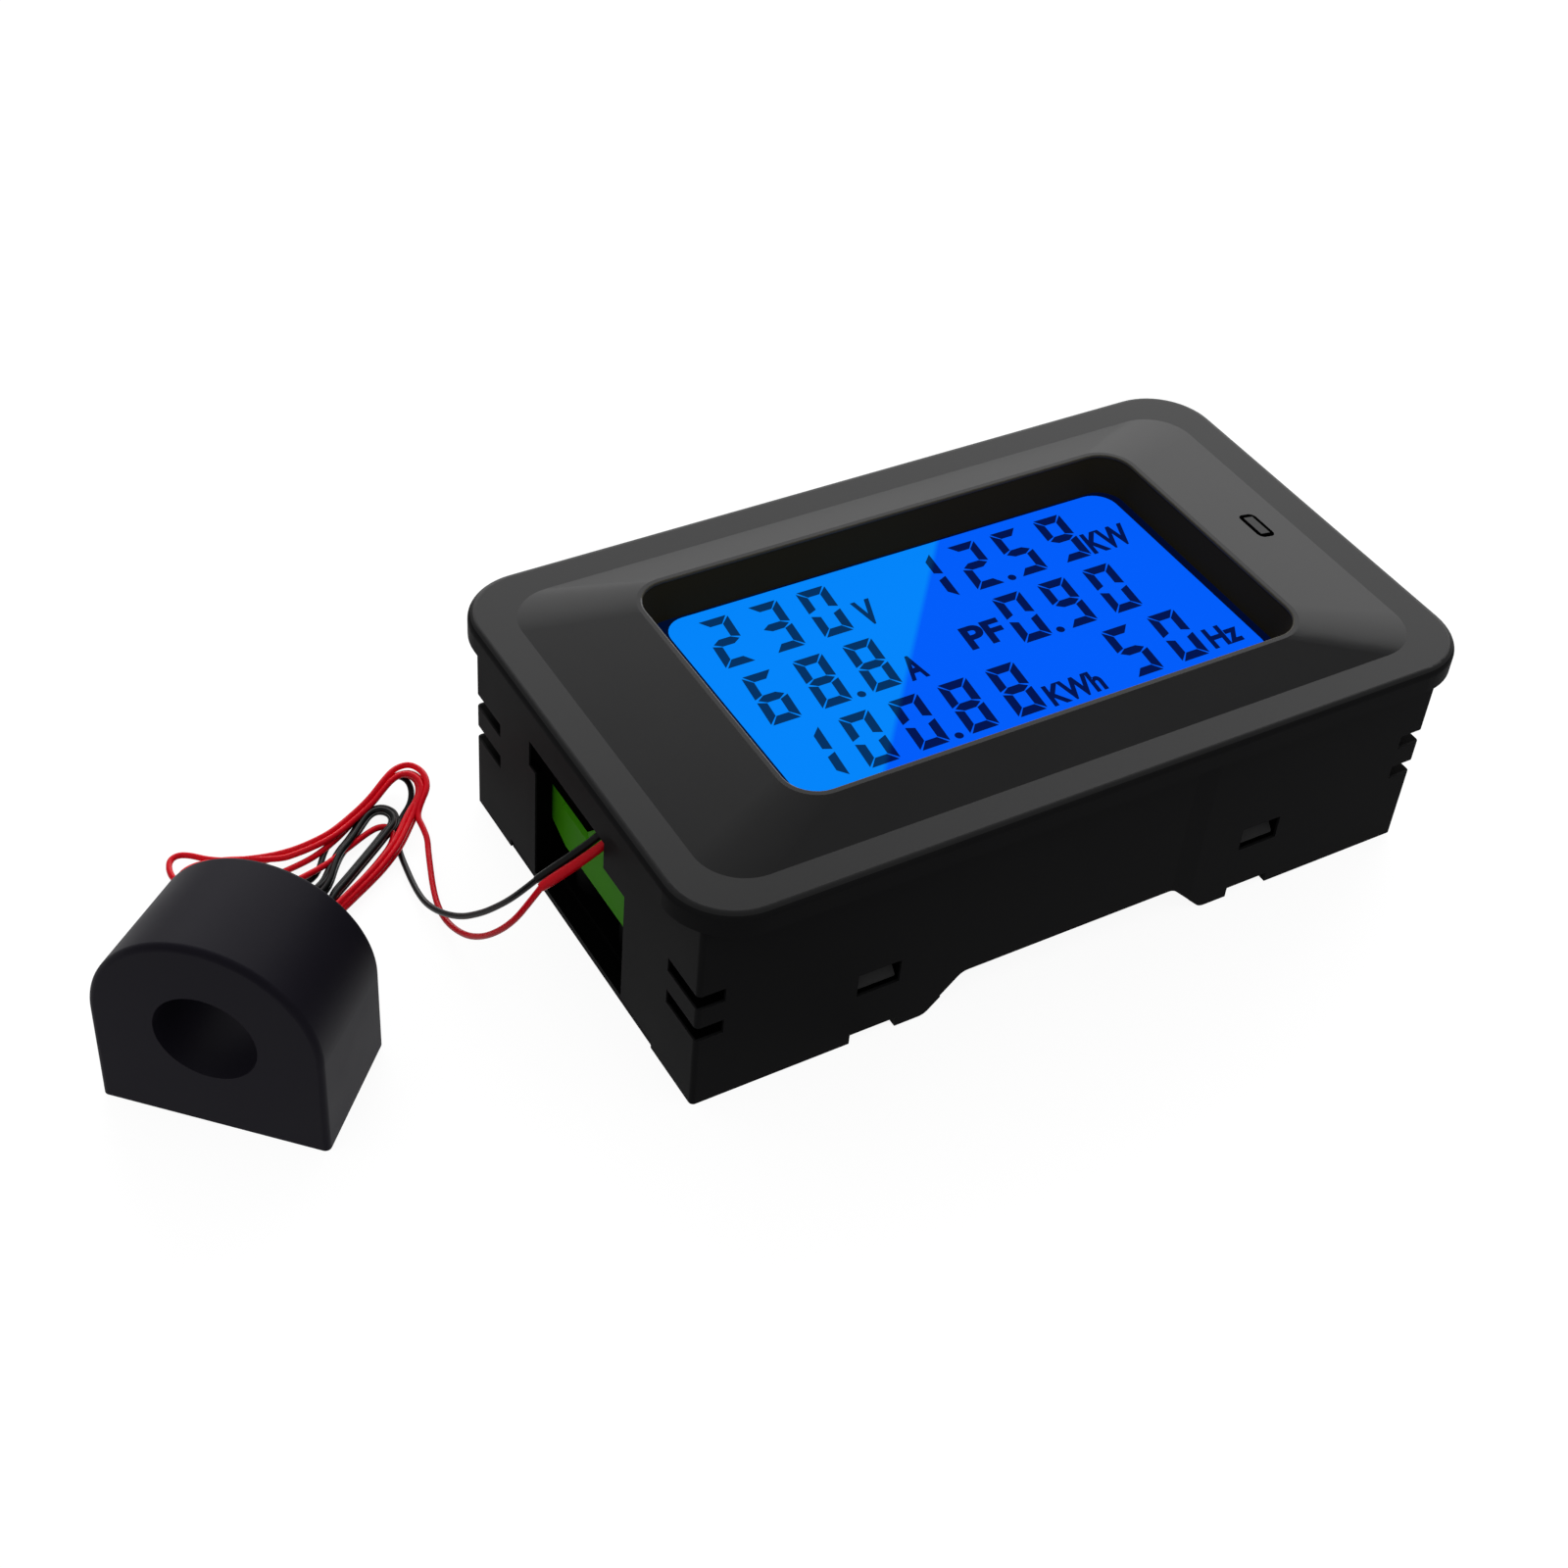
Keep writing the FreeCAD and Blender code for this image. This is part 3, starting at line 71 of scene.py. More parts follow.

# %% [markdown]
# Each lead is one thin wire from the meter to the transformer, and most of its length is wound into a
# flat hank. A NURBS curve suits it, because a smooth line passes near a few given points and a
# round bevel gives the wire its thickness. The points of the turns are not copies of each other, so the
# strands lie loosely. Some of the folds are tighter than such a wire would take by itself.

# %% Routes of the two leads
WIRE = 0.00066
RED_ROUTE = [
    (-0.04860, -0.00310, -0.01070), (-0.04990, -0.00290, -0.01260), (-0.05100, -0.00230, -0.01480),
    (-0.05200, -0.00090, -0.01720), (-0.05290, 0.00120, -0.01960), (-0.05360, 0.00400, -0.02160),
    (-0.05400, 0.00760, -0.02270), (-0.05350, 0.01130, -0.02300), (-0.05135, 0.01759, -0.02290),
    (-0.05073, 0.01915, -0.02270), (-0.05053, 0.02077, -0.02250), (-0.05050, 0.02230, -0.02227),
    (-0.04937, 0.02371, -0.02183), (-0.04797, 0.02510, -0.02146), (-0.04754, 0.02703, -0.02120),
    (-0.04822, 0.02891, -0.02122), (-0.04975, 0.02912, -0.02124), (-0.05127, 0.02829, -0.02126),
    (-0.05408, 0.02640, -0.02191), (-0.05711, 0.02507, -0.02241), (-0.05951, 0.02397, -0.02243),
    (-0.06160, 0.02355, -0.02245), (-0.06359, 0.02335, -0.02248), (-0.06565, 0.02349, -0.02250),
    (-0.06776, 0.02399, -0.02252), (-0.07016, 0.02478, -0.02254), (-0.07192, 0.02589, -0.02256),
    (-0.07311, 0.02714, -0.02259), (-0.07422, 0.02778, -0.02261), (-0.07520, 0.02749, -0.02263),
    (-0.07576, 0.02638, -0.02266), (-0.07586, 0.02497, -0.02268), (-0.07529, 0.02316, -0.02270),
    (-0.07260, 0.01960, -0.02290), (-0.07060, 0.01640, -0.02290), (-0.06640, 0.01450, -0.02280),
    (-0.06403, 0.01289, -0.02270), (-0.06227, 0.01387, -0.02261), (-0.05762, 0.01649, -0.02252),
    (-0.05567, 0.01783, -0.02243), (-0.05370, 0.01941, -0.02234), (-0.05091, 0.02254, -0.02220),
    (-0.04936, 0.02411, -0.02175), (-0.04859, 0.02533, -0.02147), (-0.04847, 0.02646, -0.02127),
    (-0.04895, 0.02750, -0.02121), (-0.04983, 0.02791, -0.02123), (-0.05101, 0.02762, -0.02136),
    (-0.05235, 0.02684, -0.02165), (-0.05394, 0.02582, -0.02203), (-0.05701, 0.02438, -0.02242),
    (-0.05941, 0.02329, -0.02244), (-0.06150, 0.02287, -0.02246), (-0.06349, 0.02266, -0.02248),
    (-0.06556, 0.02266, -0.02250), (-0.07060, 0.02540, -0.02260), (-0.07460, 0.02580, -0.02270),
    (-0.07620, 0.02320, -0.02280), (-0.07500, 0.01940, -0.02290), (-0.07100, 0.01620, -0.02240),
    (-0.06660, 0.01460, -0.02230), (-0.06437, 0.01304, -0.02225), (-0.06258, 0.01413, -0.02228),
    (-0.05790, 0.01688, -0.02231), (-0.05591, 0.01833, -0.02234), (-0.05389, 0.02004, -0.02237),
    (-0.05108, 0.02322, -0.02227), (-0.04963, 0.02439, -0.02215), (-0.04886, 0.02549, -0.02192),
    (-0.04854, 0.02669, -0.02171), (-0.04890, 0.02777, -0.02162), (-0.04968, 0.02841, -0.02167),
    (-0.05082, 0.02835, -0.02176), (-0.05228, 0.02767, -0.02208), (-0.05387, 0.02675, -0.02245),
    (-0.05692, 0.02539, -0.02293), (-0.05931, 0.02432, -0.02298), (-0.06140, 0.02392, -0.02302),
    (-0.06392, 0.02370, -0.02306), (-0.06645, 0.02370, -0.02310), (-0.07120, 0.02420, -0.02310),
    (-0.07520, 0.02320, -0.02310), (-0.07620, 0.02060, -0.02320), (-0.07480, 0.01740, -0.02330),
    (-0.07040, 0.01500, -0.02300), (-0.06600, 0.01370, -0.02290), (-0.06387, 0.01273, -0.02286),
    (-0.06208, 0.01378, -0.02285), (-0.05741, 0.01648, -0.02284), (-0.05543, 0.01789, -0.02282),
    (-0.05342, 0.01955, -0.02281), (-0.05057, 0.02281, -0.02280), (-0.04894, 0.02435, -0.02240),
    (-0.04809, 0.02562, -0.02212), (-0.04794, 0.02680, -0.02190), (-0.04843, 0.02822, -0.02182),
    (-0.04963, 0.02866, -0.02185), (-0.05097, 0.02828, -0.02199), (-0.05379, 0.02653, -0.02262),
    (-0.05649, 0.02509, -0.02303), (-0.05844, 0.02377, -0.02305), (-0.06064, 0.02261, -0.02308),
    (-0.06302, 0.02172, -0.02310), (-0.06880, 0.02100, -0.02310), (-0.07360, 0.02080, -0.02320),
    (-0.07520, 0.01840, -0.02330), (-0.07360, 0.01560, -0.02310), (-0.06840, 0.01360, -0.02290),
    (-0.06436, 0.01335, -0.02286), (-0.06257, 0.01450, -0.02294), (-0.05954, 0.01641, -0.02302),
    (-0.05745, 0.01784, -0.02310), (-0.05597, 0.01893, -0.02310), (-0.05442, 0.02013, -0.02305),
    (-0.05346, 0.02147, -0.02300), (-0.05348, 0.02281, -0.02295), (-0.05452, 0.02317, -0.02290),
    (-0.05610, 0.02265, -0.02285), (-0.05799, 0.02173, -0.02280), (-0.05998, 0.02080, -0.02275),
    (-0.06207, 0.01985, -0.02270), (-0.06890, 0.01840, -0.02250), (-0.07160, 0.01640, -0.02200),
    (-0.07280, 0.01260, -0.02150), (-0.07160, 0.00860, -0.02090), (-0.07070, 0.00540, -0.02040),
    (-0.07220, 0.00330, -0.02040), (-0.07340, 0.00210, -0.02040)]
BLACK_ROUTE = [
    (-0.04850, -0.00190, -0.01080), (-0.04960, -0.00120, -0.01240), (-0.05060, -0.00020, -0.01420),
    (-0.05150, 0.00110, -0.01600), (-0.05240, 0.00260, -0.01780), (-0.05360, 0.00500, -0.02000),
    (-0.05460, 0.00860, -0.02190), (-0.05480, 0.01220, -0.02300), (-0.05396, 0.01836, -0.02345),
    (-0.05351, 0.02039, -0.02345), (-0.05274, 0.02230, -0.02345), (-0.05165, 0.02391, -0.02345),
    (-0.05017, 0.02499, -0.02314), (-0.04927, 0.02639, -0.02278), (-0.04903, 0.02779, -0.02249),
    (-0.04955, 0.02889, -0.02235), (-0.05058, 0.02909, -0.02239), (-0.05195, 0.02837, -0.02265),
    (-0.05358, 0.02730, -0.02300), (-0.05577, 0.02606, -0.02345), (-0.05807, 0.02471, -0.02345),
    (-0.06026, 0.02334, -0.02345), (-0.06320, 0.01880, -0.02345), (-0.06660, 0.02020, -0.02345),
    (-0.06960, 0.01900, -0.02345), (-0.07040, 0.01640, -0.02345), (-0.06820, 0.01380, -0.02345),
    (-0.06560, 0.01280, -0.02345), (-0.06242, 0.01602, -0.02345), (-0.06019, 0.01758, -0.02345),
    (-0.05772, 0.01939, -0.02345), (-0.05537, 0.02113, -0.02345), (-0.05356, 0.02253, -0.02345),
    (-0.05224, 0.02370, -0.02345), (-0.05189, 0.02500, -0.02329), (-0.05278, 0.02611, -0.02316),
    (-0.05416, 0.02623, -0.02327), (-0.05585, 0.02511, -0.02345), (-0.05766, 0.02337, -0.02345),
    (-0.05981, 0.02183, -0.02345), (-0.06360, 0.01720, -0.02345), (-0.06640, 0.01740, -0.02345),
    (-0.06820, 0.01560, -0.02345), (-0.06740, 0.01340, -0.02320), (-0.06520, 0.01270, -0.02290),
    (-0.06258, 0.01541, -0.02288), (-0.06036, 0.01696, -0.02288), (-0.05790, 0.01876, -0.02288),
    (-0.05555, 0.02049, -0.02288), (-0.05375, 0.02189, -0.02288), (-0.05243, 0.02306, -0.02288),
    (-0.05208, 0.02436, -0.02273), (-0.05297, 0.02546, -0.02260), (-0.05434, 0.02559, -0.02271),
    (-0.05603, 0.02446, -0.02288), (-0.05784, 0.02273, -0.02288), (-0.05997, 0.02120, -0.02288),
    (-0.06320, 0.01730, -0.02288), (-0.06620, 0.01750, -0.02288), (-0.06820, 0.01560, -0.02290),
    (-0.06700, 0.01320, -0.02310), (-0.06440, 0.01280, -0.02340), (-0.06256, 0.01650, -0.02346),
    (-0.06033, 0.01807, -0.02346), (-0.05786, 0.01988, -0.02346), (-0.05550, 0.02163, -0.02346),
    (-0.05370, 0.02304, -0.02346), (-0.05276, 0.02363, -0.02346), (-0.05244, 0.02487, -0.02338),
    (-0.05315, 0.02576, -0.02328), (-0.05426, 0.02575, -0.02338), (-0.05576, 0.02449, -0.02346),
    (-0.05757, 0.02276, -0.02346), (-0.05972, 0.02122, -0.02346), (-0.06270, 0.01680, -0.02346),
    (-0.06570, 0.01650, -0.02340), (-0.06720, 0.01490, -0.02330), (-0.06600, 0.01280, -0.02310),
    (-0.06360, 0.01260, -0.02290), (-0.06272, 0.01594, -0.02288), (-0.06049, 0.01750, -0.02288),
    (-0.05803, 0.01930, -0.02288), (-0.05568, 0.02104, -0.02288), (-0.05388, 0.02245, -0.02288),
    (-0.05290, 0.02302, -0.02288), (-0.05265, 0.02422, -0.02281), (-0.05340, 0.02512, -0.02271),
    (-0.05448, 0.02517, -0.02280), (-0.05593, 0.02396, -0.02288), (-0.05774, 0.02223, -0.02288),
    (-0.05988, 0.02070, -0.02288), (-0.06300, 0.01720, -0.02290), (-0.06580, 0.01760, -0.02290),
    (-0.06780, 0.01620, -0.02280), (-0.06740, 0.01400, -0.02270), (-0.06480, 0.01280, -0.02250),
    (-0.06283, 0.01513, -0.02230), (-0.06061, 0.01668, -0.02230), (-0.05816, 0.01848, -0.02230),
    (-0.05582, 0.02021, -0.02230), (-0.05403, 0.02161, -0.02230), (-0.05293, 0.02251, -0.02230),
    (-0.05266, 0.02375, -0.02220), (-0.05342, 0.02477, -0.02206), (-0.05465, 0.02484, -0.02217),
    (-0.05623, 0.02365, -0.02230), (-0.05804, 0.02193, -0.02230), (-0.06017, 0.02040, -0.02230),
    (-0.06300, 0.01620, -0.02250), (-0.06640, 0.01630, -0.02260), (-0.06960, 0.01520, -0.02260),
    (-0.07190, 0.01270, -0.02250), (-0.07290, 0.00980, -0.02220), (-0.07240, 0.00740, -0.02210),
    (-0.07390, 0.00500, -0.02210), (-0.07510, 0.00380, -0.02210)]


def smooth_curve(name, points, radius):
    """A round wire along a smooth line near the points."""
    data = bpy.data.curves.new(name, "CURVE")
    data.dimensions = "3D"
    data.resolution_u = 6
    data.bevel_depth = radius
    data.bevel_resolution = 3
    data.use_fill_caps = True
    spline = data.splines.new("NURBS")
    spline.points.add(len(points) - 1)
    for place, point in zip(spline.points, points):
        place.co = (*point, 1.0)
    spline.order_u = 3
    spline.use_endpoint_u = True
    piece = bpy.data.objects.new(name, data)
    bpy.context.scene.collection.objects.link(piece)
    return piece


red_wire = smooth_curve("red_wire", RED_ROUTE, WIRE / 2)
black_wire = smooth_curve("black_wire", BLACK_ROUTE, WIRE / 2)
print("points", len(RED_ROUTE), len(BLACK_ROUTE))

# %% [markdown]
# Where the leads leave the meter each wears a short, thicker sleeve that guards it against the edge of
# the opening. It is made in the same way, with a wider bevel, and its end closes round the wire.

# %% Sleeves at the meter
SLEEVE = 0.0010
SLEEVE_START = -0.0366
SLEEVE_LEVEL_END = -0.0396
SLEEVE_HEIGHT = -0.00573
SLEEVE_KNEE = (-0.0433, -0.0086)
SLEEVE_LIP = 0.0002


def sleeve(name, inside, route, widths):
    """A sleeve from inside the meter over its knee to the start of the wire's route.

    inside is its place across the meter, and widths are its shares of the full width along the way.
    """
    end = Vector(route[0])
    knee = Vector((SLEEVE_KNEE[0], end.y, SLEEVE_KNEE[1]))
    lip = end + (end - knee).normalized() * SLEEVE_LIP
    points = [(SLEEVE_START, inside, SLEEVE_HEIGHT), (SLEEVE_LEVEL_END, inside, SLEEVE_HEIGHT),
              knee, end, lip]
    piece = smooth_curve(name, points, SLEEVE / 2)
    for point, share in zip(piece.data.splines[0].points, widths):
        point.radius = share
    return piece


red_sleeve = sleeve("red_wire_sleeve", -0.0036, RED_ROUTE, (0.85, 0.85, 1, 1.15, 0.8))
black_sleeve = sleeve("black_wire_sleeve", -0.0023, BLACK_ROUTE, (0.8, 0.8, 0.85, 0.9, 0.7))
print("sleeves", red_sleeve.name, black_sleeve.name)

# %% [markdown]
# The inner edge of the rim round the window is not sharp: it ends in a thin rounded bead. Its colour is a
# painted highlight, lighter than the frame's plastic and palest along its left side. Its path is a rounded
# rectangle whose corners turn in quarter circles.

# %% Bead round the window
BEAD = 0.00017
RIM_TOP = 0.0043
RIM_HALF = (0.02955, 0.0169)
RIM_CORNER = 0.00355
CORNER_STEPS = 8


def round_line(half, corner):
    """Points once round a rectangle with these half sides and round corners."""
    points = []
    for quarter, (side_x, side_y) in enumerate(((1, 1), (-1, 1), (-1, -1), (1, -1))):
        middle = (side_x * (half[0] - corner), side_y * (half[1] - corner))
        for step in range(CORNER_STEPS + 1):
            angle = math.radians(90 * (quarter + step / CORNER_STEPS))
            points.append((middle[0] + corner * math.cos(angle), middle[1] + corner * math.sin(angle)))
    return points


bead_data = bpy.data.curves.new("window_bead", "CURVE")
bead_data.dimensions = "3D"
bead_data.bevel_depth = BEAD
bead_data.bevel_resolution = 3
bead_line = bead_data.splines.new("POLY")
bead_points = round_line(RIM_HALF, RIM_CORNER)
bead_line.points.add(len(bead_points) - 1)
for place, (x, y) in zip(bead_line.points, bead_points):
    place.co = (x, y, RIM_TOP - BEAD, 1.0)
bead_line.use_cyclic_u = True
window_bead = bpy.data.objects.new("window_bead", bead_data)
bpy.context.scene.collection.objects.link(window_bead)
print("bead points", len(bead_points))

# %% [markdown]
# The shallow panel in each long wall ends at a step. In the photograph its right end runs out smoothly,
# so a thin wedge fills the corner of the step there. Its lower edge follows the slope of the wall's
# raised middle.

# %% Wedges at the ends of the side panels
WEDGE_LINE = ((0.01260, -0.00005), (0.01530, -0.00005), (0.01530, -0.02205), (0.01290, -0.01962),
              (0.01260, -0.01960))
WALL_FACE = 0.0236
PANEL_FACE = 0.02348
WEDGE_BACK = 0.0234


def mesh_object(name, shape):
    """An object in the scene with this shape, a bmesh that is free to go afterwards."""
    mesh = bpy.data.meshes.new(name)
    shape.to_mesh(mesh)
    shape.free()
    piece = bpy.data.objects.new(name, mesh)
    bpy.context.scene.collection.objects.link(piece)
    return piece


wedge_shape = bmesh.new()
for side in (-1, 1):
    front = []
    for along, height in WEDGE_LINE:
        rise = (along - WEDGE_LINE[0][0]) / (WEDGE_LINE[1][0] - WEDGE_LINE[0][0])
        face = PANEL_FACE + rise * (WALL_FACE - PANEL_FACE)
        front.append(wedge_shape.verts.new((along, side * face, height)))
    made = bmesh.ops.extrude_face_region(wedge_shape, geom=[wedge_shape.faces.new(front)])["geom"]
    for item in made:
        if isinstance(item, bmesh.types.BMVert):
            item.co.y = side * WEDGE_BACK
bmesh.ops.recalc_face_normals(wedge_shape, faces=wedge_shape.faces)
panel_wedges = mesh_object("panel_wedges", wedge_shape)
print("wedges", len(panel_wedges.data.polygons), "faces")

# %% [markdown]
# Materials are made of nodes. Two small helpers keep them readable: a Value stands for one socket, so
# that plain sums such as 1 - mask add their own Math nodes, and a Recipe adds any other node in one line.

# %% Helpers for materials
class Value:
    """One output of a node. Sums written with it add Math nodes."""

    def __init__(self, recipe, socket):
        self.recipe = recipe
        self.socket = socket

    def math(self, operation, first, second):
        return self.recipe.node("ShaderNodeMath", {"operation": operation}, {0: first, 1: second})

    def __add__(self, other):
        return self.math("ADD", self, other)

    __radd__ = __add__

    def __mul__(self, other):
        return self.math("MULTIPLY", self, other)

    __rmul__ = __mul__

    def __sub__(self, other):
        return self.math("SUBTRACT", self, other)

    def __rsub__(self, other):
        return self.math("SUBTRACT", other, self)

    def __gt__(self, other):
        return self.math("GREATER_THAN", self, other)

    def __lt__(self, other):
        return self.math("LESS_THAN", self, other)


class Recipe:
    """A material in the making."""

    def __init__(self, name):
        self.material = bpy.data.materials.new(name)
        self.material.use_nodes = True
        self.tree = self.material.node_tree
        self.tree.nodes.clear()

    def node(self, kind, settings=None, inputs=None, output=0):
        """Adds a node with its settings and the values or links of its sockets. Gives one output."""
        made = self.tree.nodes.new(kind)
        for name, setting in (settings or {}).items():
            setattr(made, name, setting)
        for name, given in (inputs or {}).items():
            if isinstance(given, Value):
                self.tree.links.new(given.socket, made.inputs[name])
            else:
                made.inputs[name].default_value = given
        return None if output is None else Value(self, made.outputs[output])

    def place(self):
        """Where a point lies on the object, in metres."""
        return self.node("ShaderNodeTexCoord", output="Object")

    def part(self, vector, axis):
        """One of the three numbers of a vector: 0, 1 or 2."""
        return self.node("ShaderNodeSeparateXYZ", None, {0: vector}, output=axis)

    def upright(self):
        """How far the surface faces up: 1 on a level top, 0 on a wall."""
        return self.part(self.node("ShaderNodeTexCoord", output="Normal"), 2)

    def within(self, middle, half):
        """1 inside an upright box round middle, 0 outside."""
        inside = 1.0
        for axis in range(3):
            off = self.part(self.place(), axis) - middle[axis]
            inside = (off * off < half[axis] ** 2) * inside
        return inside

    def noise(self, size, detail=2.0, where=None):
        """Soft blotches of about this size, from 0 to 1."""
        return self.node("ShaderNodeTexNoise", None,
                         {"Vector": where or self.place(), "Scale": 1 / size, "Detail": detail})

    def mix(self, share, first, second):
        """A colour between two colours."""
        return self.node("ShaderNodeMix", {"data_type": "RGBA"}, {0: share, 6: first, 7: second}, output=2)

    def bump(self, height, depth):
        """A surface raised by height, 0 to 1, up to depth in metres."""
        return self.node("ShaderNodeBump", None, {"Height": height, "Distance": depth, "Strength": 1.0})

    def finish(self, **sockets):
        """Ends the material with one main shader."""
        names = {key.replace("_", " "): given for key, given in sockets.items()}
        shader = self.node("ShaderNodeBsdfPrincipled", None, names)
        self.node("ShaderNodeOutputMaterial", None, {"Surface": shader}, output=None)
        return self.material


def rgb(red, green, blue):
    """A colour with full cover."""
    return (red, green, blue, 1.0)

# %% [markdown]
# The case is black moulded plastic with a satin skin. A fine grain keeps its reflections soft, and slow
# blotches in the roughness stop the large slopes from looking like a drawing.

# %% Moulded plastics
TONE_SPREAD = 0.12
GLOSS_SPREAD = 0.04
BLOTCH = 0.006


def moulded(start, colour, roughness, grain=0.00012, depth=0.000002, specular=0.3, coat=0.0, patches=()):
    """Plastic as it leaves the mould: uneven in tone and gloss.

    It starts from a name, or from a recipe whose masks are in use. A patch is a mask and the colour there.
    """
    recipe = start if isinstance(start, Recipe) else Recipe(start)
    slow = recipe.noise(BLOTCH, 3.0)
    fine = recipe.noise(grain, 2.0)
    darker = rgb(*((1 - TONE_SPREAD) * part for part in colour))
    lighter = rgb(*((1 + TONE_SPREAD) * part for part in colour))
    tone = recipe.mix(slow, darker, lighter)
    for mask, under in patches:
        tone = recipe.mix(mask, tone, rgb(*under))
    gloss = roughness - GLOSS_SPREAD + 2 * GLOSS_SPREAD * slow
    return recipe.finish(Base_Color=tone, Roughness=gloss, Specular_IOR_Level=specular,
                         Coat_Weight=coat, Coat_Roughness=0.3, Normal=recipe.bump(fine, depth))


# The frame has a sheen above the panel. The walls of its window are matt, and their colour is painted
# lighter and warmer than the frame's to offset the display's blue glow on them. The depths of the vents and
# openings are painted near black as shade.
FRAME_ABOVE = 0.0022
SHEEN = 0.36
LEVEL = 0.75
STEEP = 0.5
WINDOW_MIDDLE = (0.0, 0.0, 0.0022)
WINDOW_HALF = (0.0297, 0.0170, 0.00205)
HOLLOW_MIDDLE = (0.0, 0.0, -0.0130)
HOLLOW_HALF = (0.0428, 0.0233, 0.0120)
WINDOW_PAINTED_TONE = (0.026, 0.022, 0.011)
HOLLOW_PAINTED_SHADE = (0.001, 0.001, 0.001)
frame_recipe = Recipe("housing plastic")
above_panel = frame_recipe.part(frame_recipe.place(), 2) > FRAME_ABOVE
sheen = SHEEN * above_panel * (frame_recipe.upright() > LEVEL)
window_wall = frame_recipe.within(WINDOW_MIDDLE, WINDOW_HALF) * (frame_recipe.upright() < STEEP)
hollow = frame_recipe.within(HOLLOW_MIDDLE, HOLLOW_HALF)

# The rear cover is painted near black as shade, in the openings and under the edge of the wall. Its snap
# arms, which show in the side windows, are painted paler as painted light.
SNAP_ARM_FROM = 0.0222
cover_recipe = Recipe("cover plastic")
across = cover_recipe.part(cover_recipe.place(), 1)
snap_arm_painted_light = across * across > SNAP_ARM_FROM ** 2

# The key has a lighter face inside a near-black rim: painted shade that stands for the gap round the key.
KEY_MIDDLE = (0.03640, 0.00006, 0.0030)
KEY_FACE = (0.00060, 0.00152, 0.0020)
key_recipe = Recipe("key plastic")
key_gap_shade = 1 - key_recipe.within(KEY_MIDDLE, KEY_FACE)

# The bead round the window is painted lighter than the frame as a highlight, palest along its left side.
BEAD_LEFT = -0.0289
bead_recipe = Recipe("rim plastic")
bead_left_highlight = bead_recipe.part(bead_recipe.place(), 0) < BEAD_LEFT

finishes = {
    "rim": moulded(bead_recipe, (0.055, 0.050, 0.034), 0.35, specular=0.1,
                   patches=((bead_left_highlight, (0.150, 0.150, 0.150)),)),
    "housing_black": moulded(frame_recipe, (0.0140, 0.0140, 0.0146), 0.5, specular=0.01, coat=sheen,
                             patches=((window_wall, WINDOW_PAINTED_TONE), (hollow, HOLLOW_PAINTED_SHADE))),
    # The cover's near-black tone is painted shade, and its paler snap arms are painted light.
    "cover_black": moulded(cover_recipe, (0.0015, 0.0015, 0.0016), 0.6, specular=0.02,
                           patches=((snap_arm_painted_light, (0.050, 0.050, 0.051)),)),
    "key_black": moulded(key_recipe, (0.010, 0.010, 0.011), 0.5, specular=0.0, coat=0.30 * (1 - key_gap_shade),
                         patches=((key_gap_shade, (0.0004, 0.0004, 0.0004)),)),
    "terminal_green": moulded("terminal plastic", (0.066, 0.37, 0.006), 0.5, specular=0.03),
    "ct_case": moulded("transformer case plastic", (0.0125, 0.0112, 0.0172), 0.5, specular=0.05),
    "chip_black": moulded("chip body", (0.02, 0.02, 0.022), 0.55, 0.00008, 0.000003),
    "tray_white": moulded("white tray", (0.8, 0.81, 0.82), 0.5),
    "capacitor_yellow": moulded("film capacitor", (0.75, 0.5, 0.04), 0.4),
    "capacitor_sleeve": moulded("capacitor sleeve", (0.02, 0.022, 0.06), 0.25, specular=0.5),
    "varistor_blue": moulded("varistor coat", (0.04, 0.14, 0.45), 0.4, 0.0006, 0.00002),
    "resistor_body": moulded("resistor body", (0.55, 0.4, 0.26), 0.5),
    "resin": moulded("casting resin", (0.02, 0.02, 0.025), 0.18, 0.003, 0.00002, specular=0.5),
    "wire_red": moulded("red wire skin", (0.95, 0.004, 0.018), 0.28, 0.0009, 0.000004, specular=0.15),
    "wire_black": moulded("black wire skin", (0.006, 0.0065, 0.007), 0.3, 0.0009, 0.000004, specular=0.2),
}
print("plastics", len(finishes))

# %% [markdown]
# Metals have no colour of their own under the skin, so they take their tone from the main colour and show
# it only in reflections. Fine scratches come from noise that is drawn out along one axis.

# %% Metals
METAL_DARKER = 0.82
METAL_SPREAD = 0.08


def metal(name, colour, roughness, along=(1, 1, 1), size=0.0004, depth=0.000002):
    """Plated or rolled metal with fine marks drawn out along one axis."""
    recipe = Recipe(name)
    where = recipe.node("ShaderNodeMapping", None, {"Vector": recipe.place(), "Scale": along})
    marks = recipe.noise(size, 3.0, where)
    tone = recipe.mix(marks, rgb(*(METAL_DARKER * part for part in colour)), rgb(*colour))
    return recipe.finish(Base_Color=tone, Metallic=1.0, Normal=recipe.bump(marks, depth),
                         Roughness=roughness - METAL_SPREAD + 2 * METAL_SPREAD * marks)


finishes["plated_steel"] = metal("plated steel", (0.72, 0.73, 0.74), 0.3)
finishes["tinned_brass"] = metal("tinned brass", (0.76, 0.72, 0.6), 0.32)
finishes["can_steel"] = metal("crystal can", (0.7, 0.71, 0.73), 0.25, (1, 12, 1))
finishes["ct_steel"] = metal("laminated core", (0.45, 0.46, 0.48), 0.35, (1, 1, 14), 0.002, 0.00002)
finishes["copper_wire"] = metal("enamelled copper", (0.72, 0.27, 0.1), 0.28, (1, 1, 8), 0.0016, 0.00006)
print("finishes", len(finishes))

# %% [markdown]
# The display shines blue from behind. A painted glare lies across it: it is paler on one side of a slanting
# line, so it has two tones here, fixed to the display. A matt skin keeps reflections away. The board is
# green lacquer, and its sawn edges are painted near black, as painted shade for the edge that shows in the
# slot of the wall.

# %% Display and board
GLARE_EDGE = Vector((0.00642, 0.01536, 0.0))
GLARE_SIDE = Vector((-0.762, 0.647, 0.0))
GLARE_BLUR = 0.0006


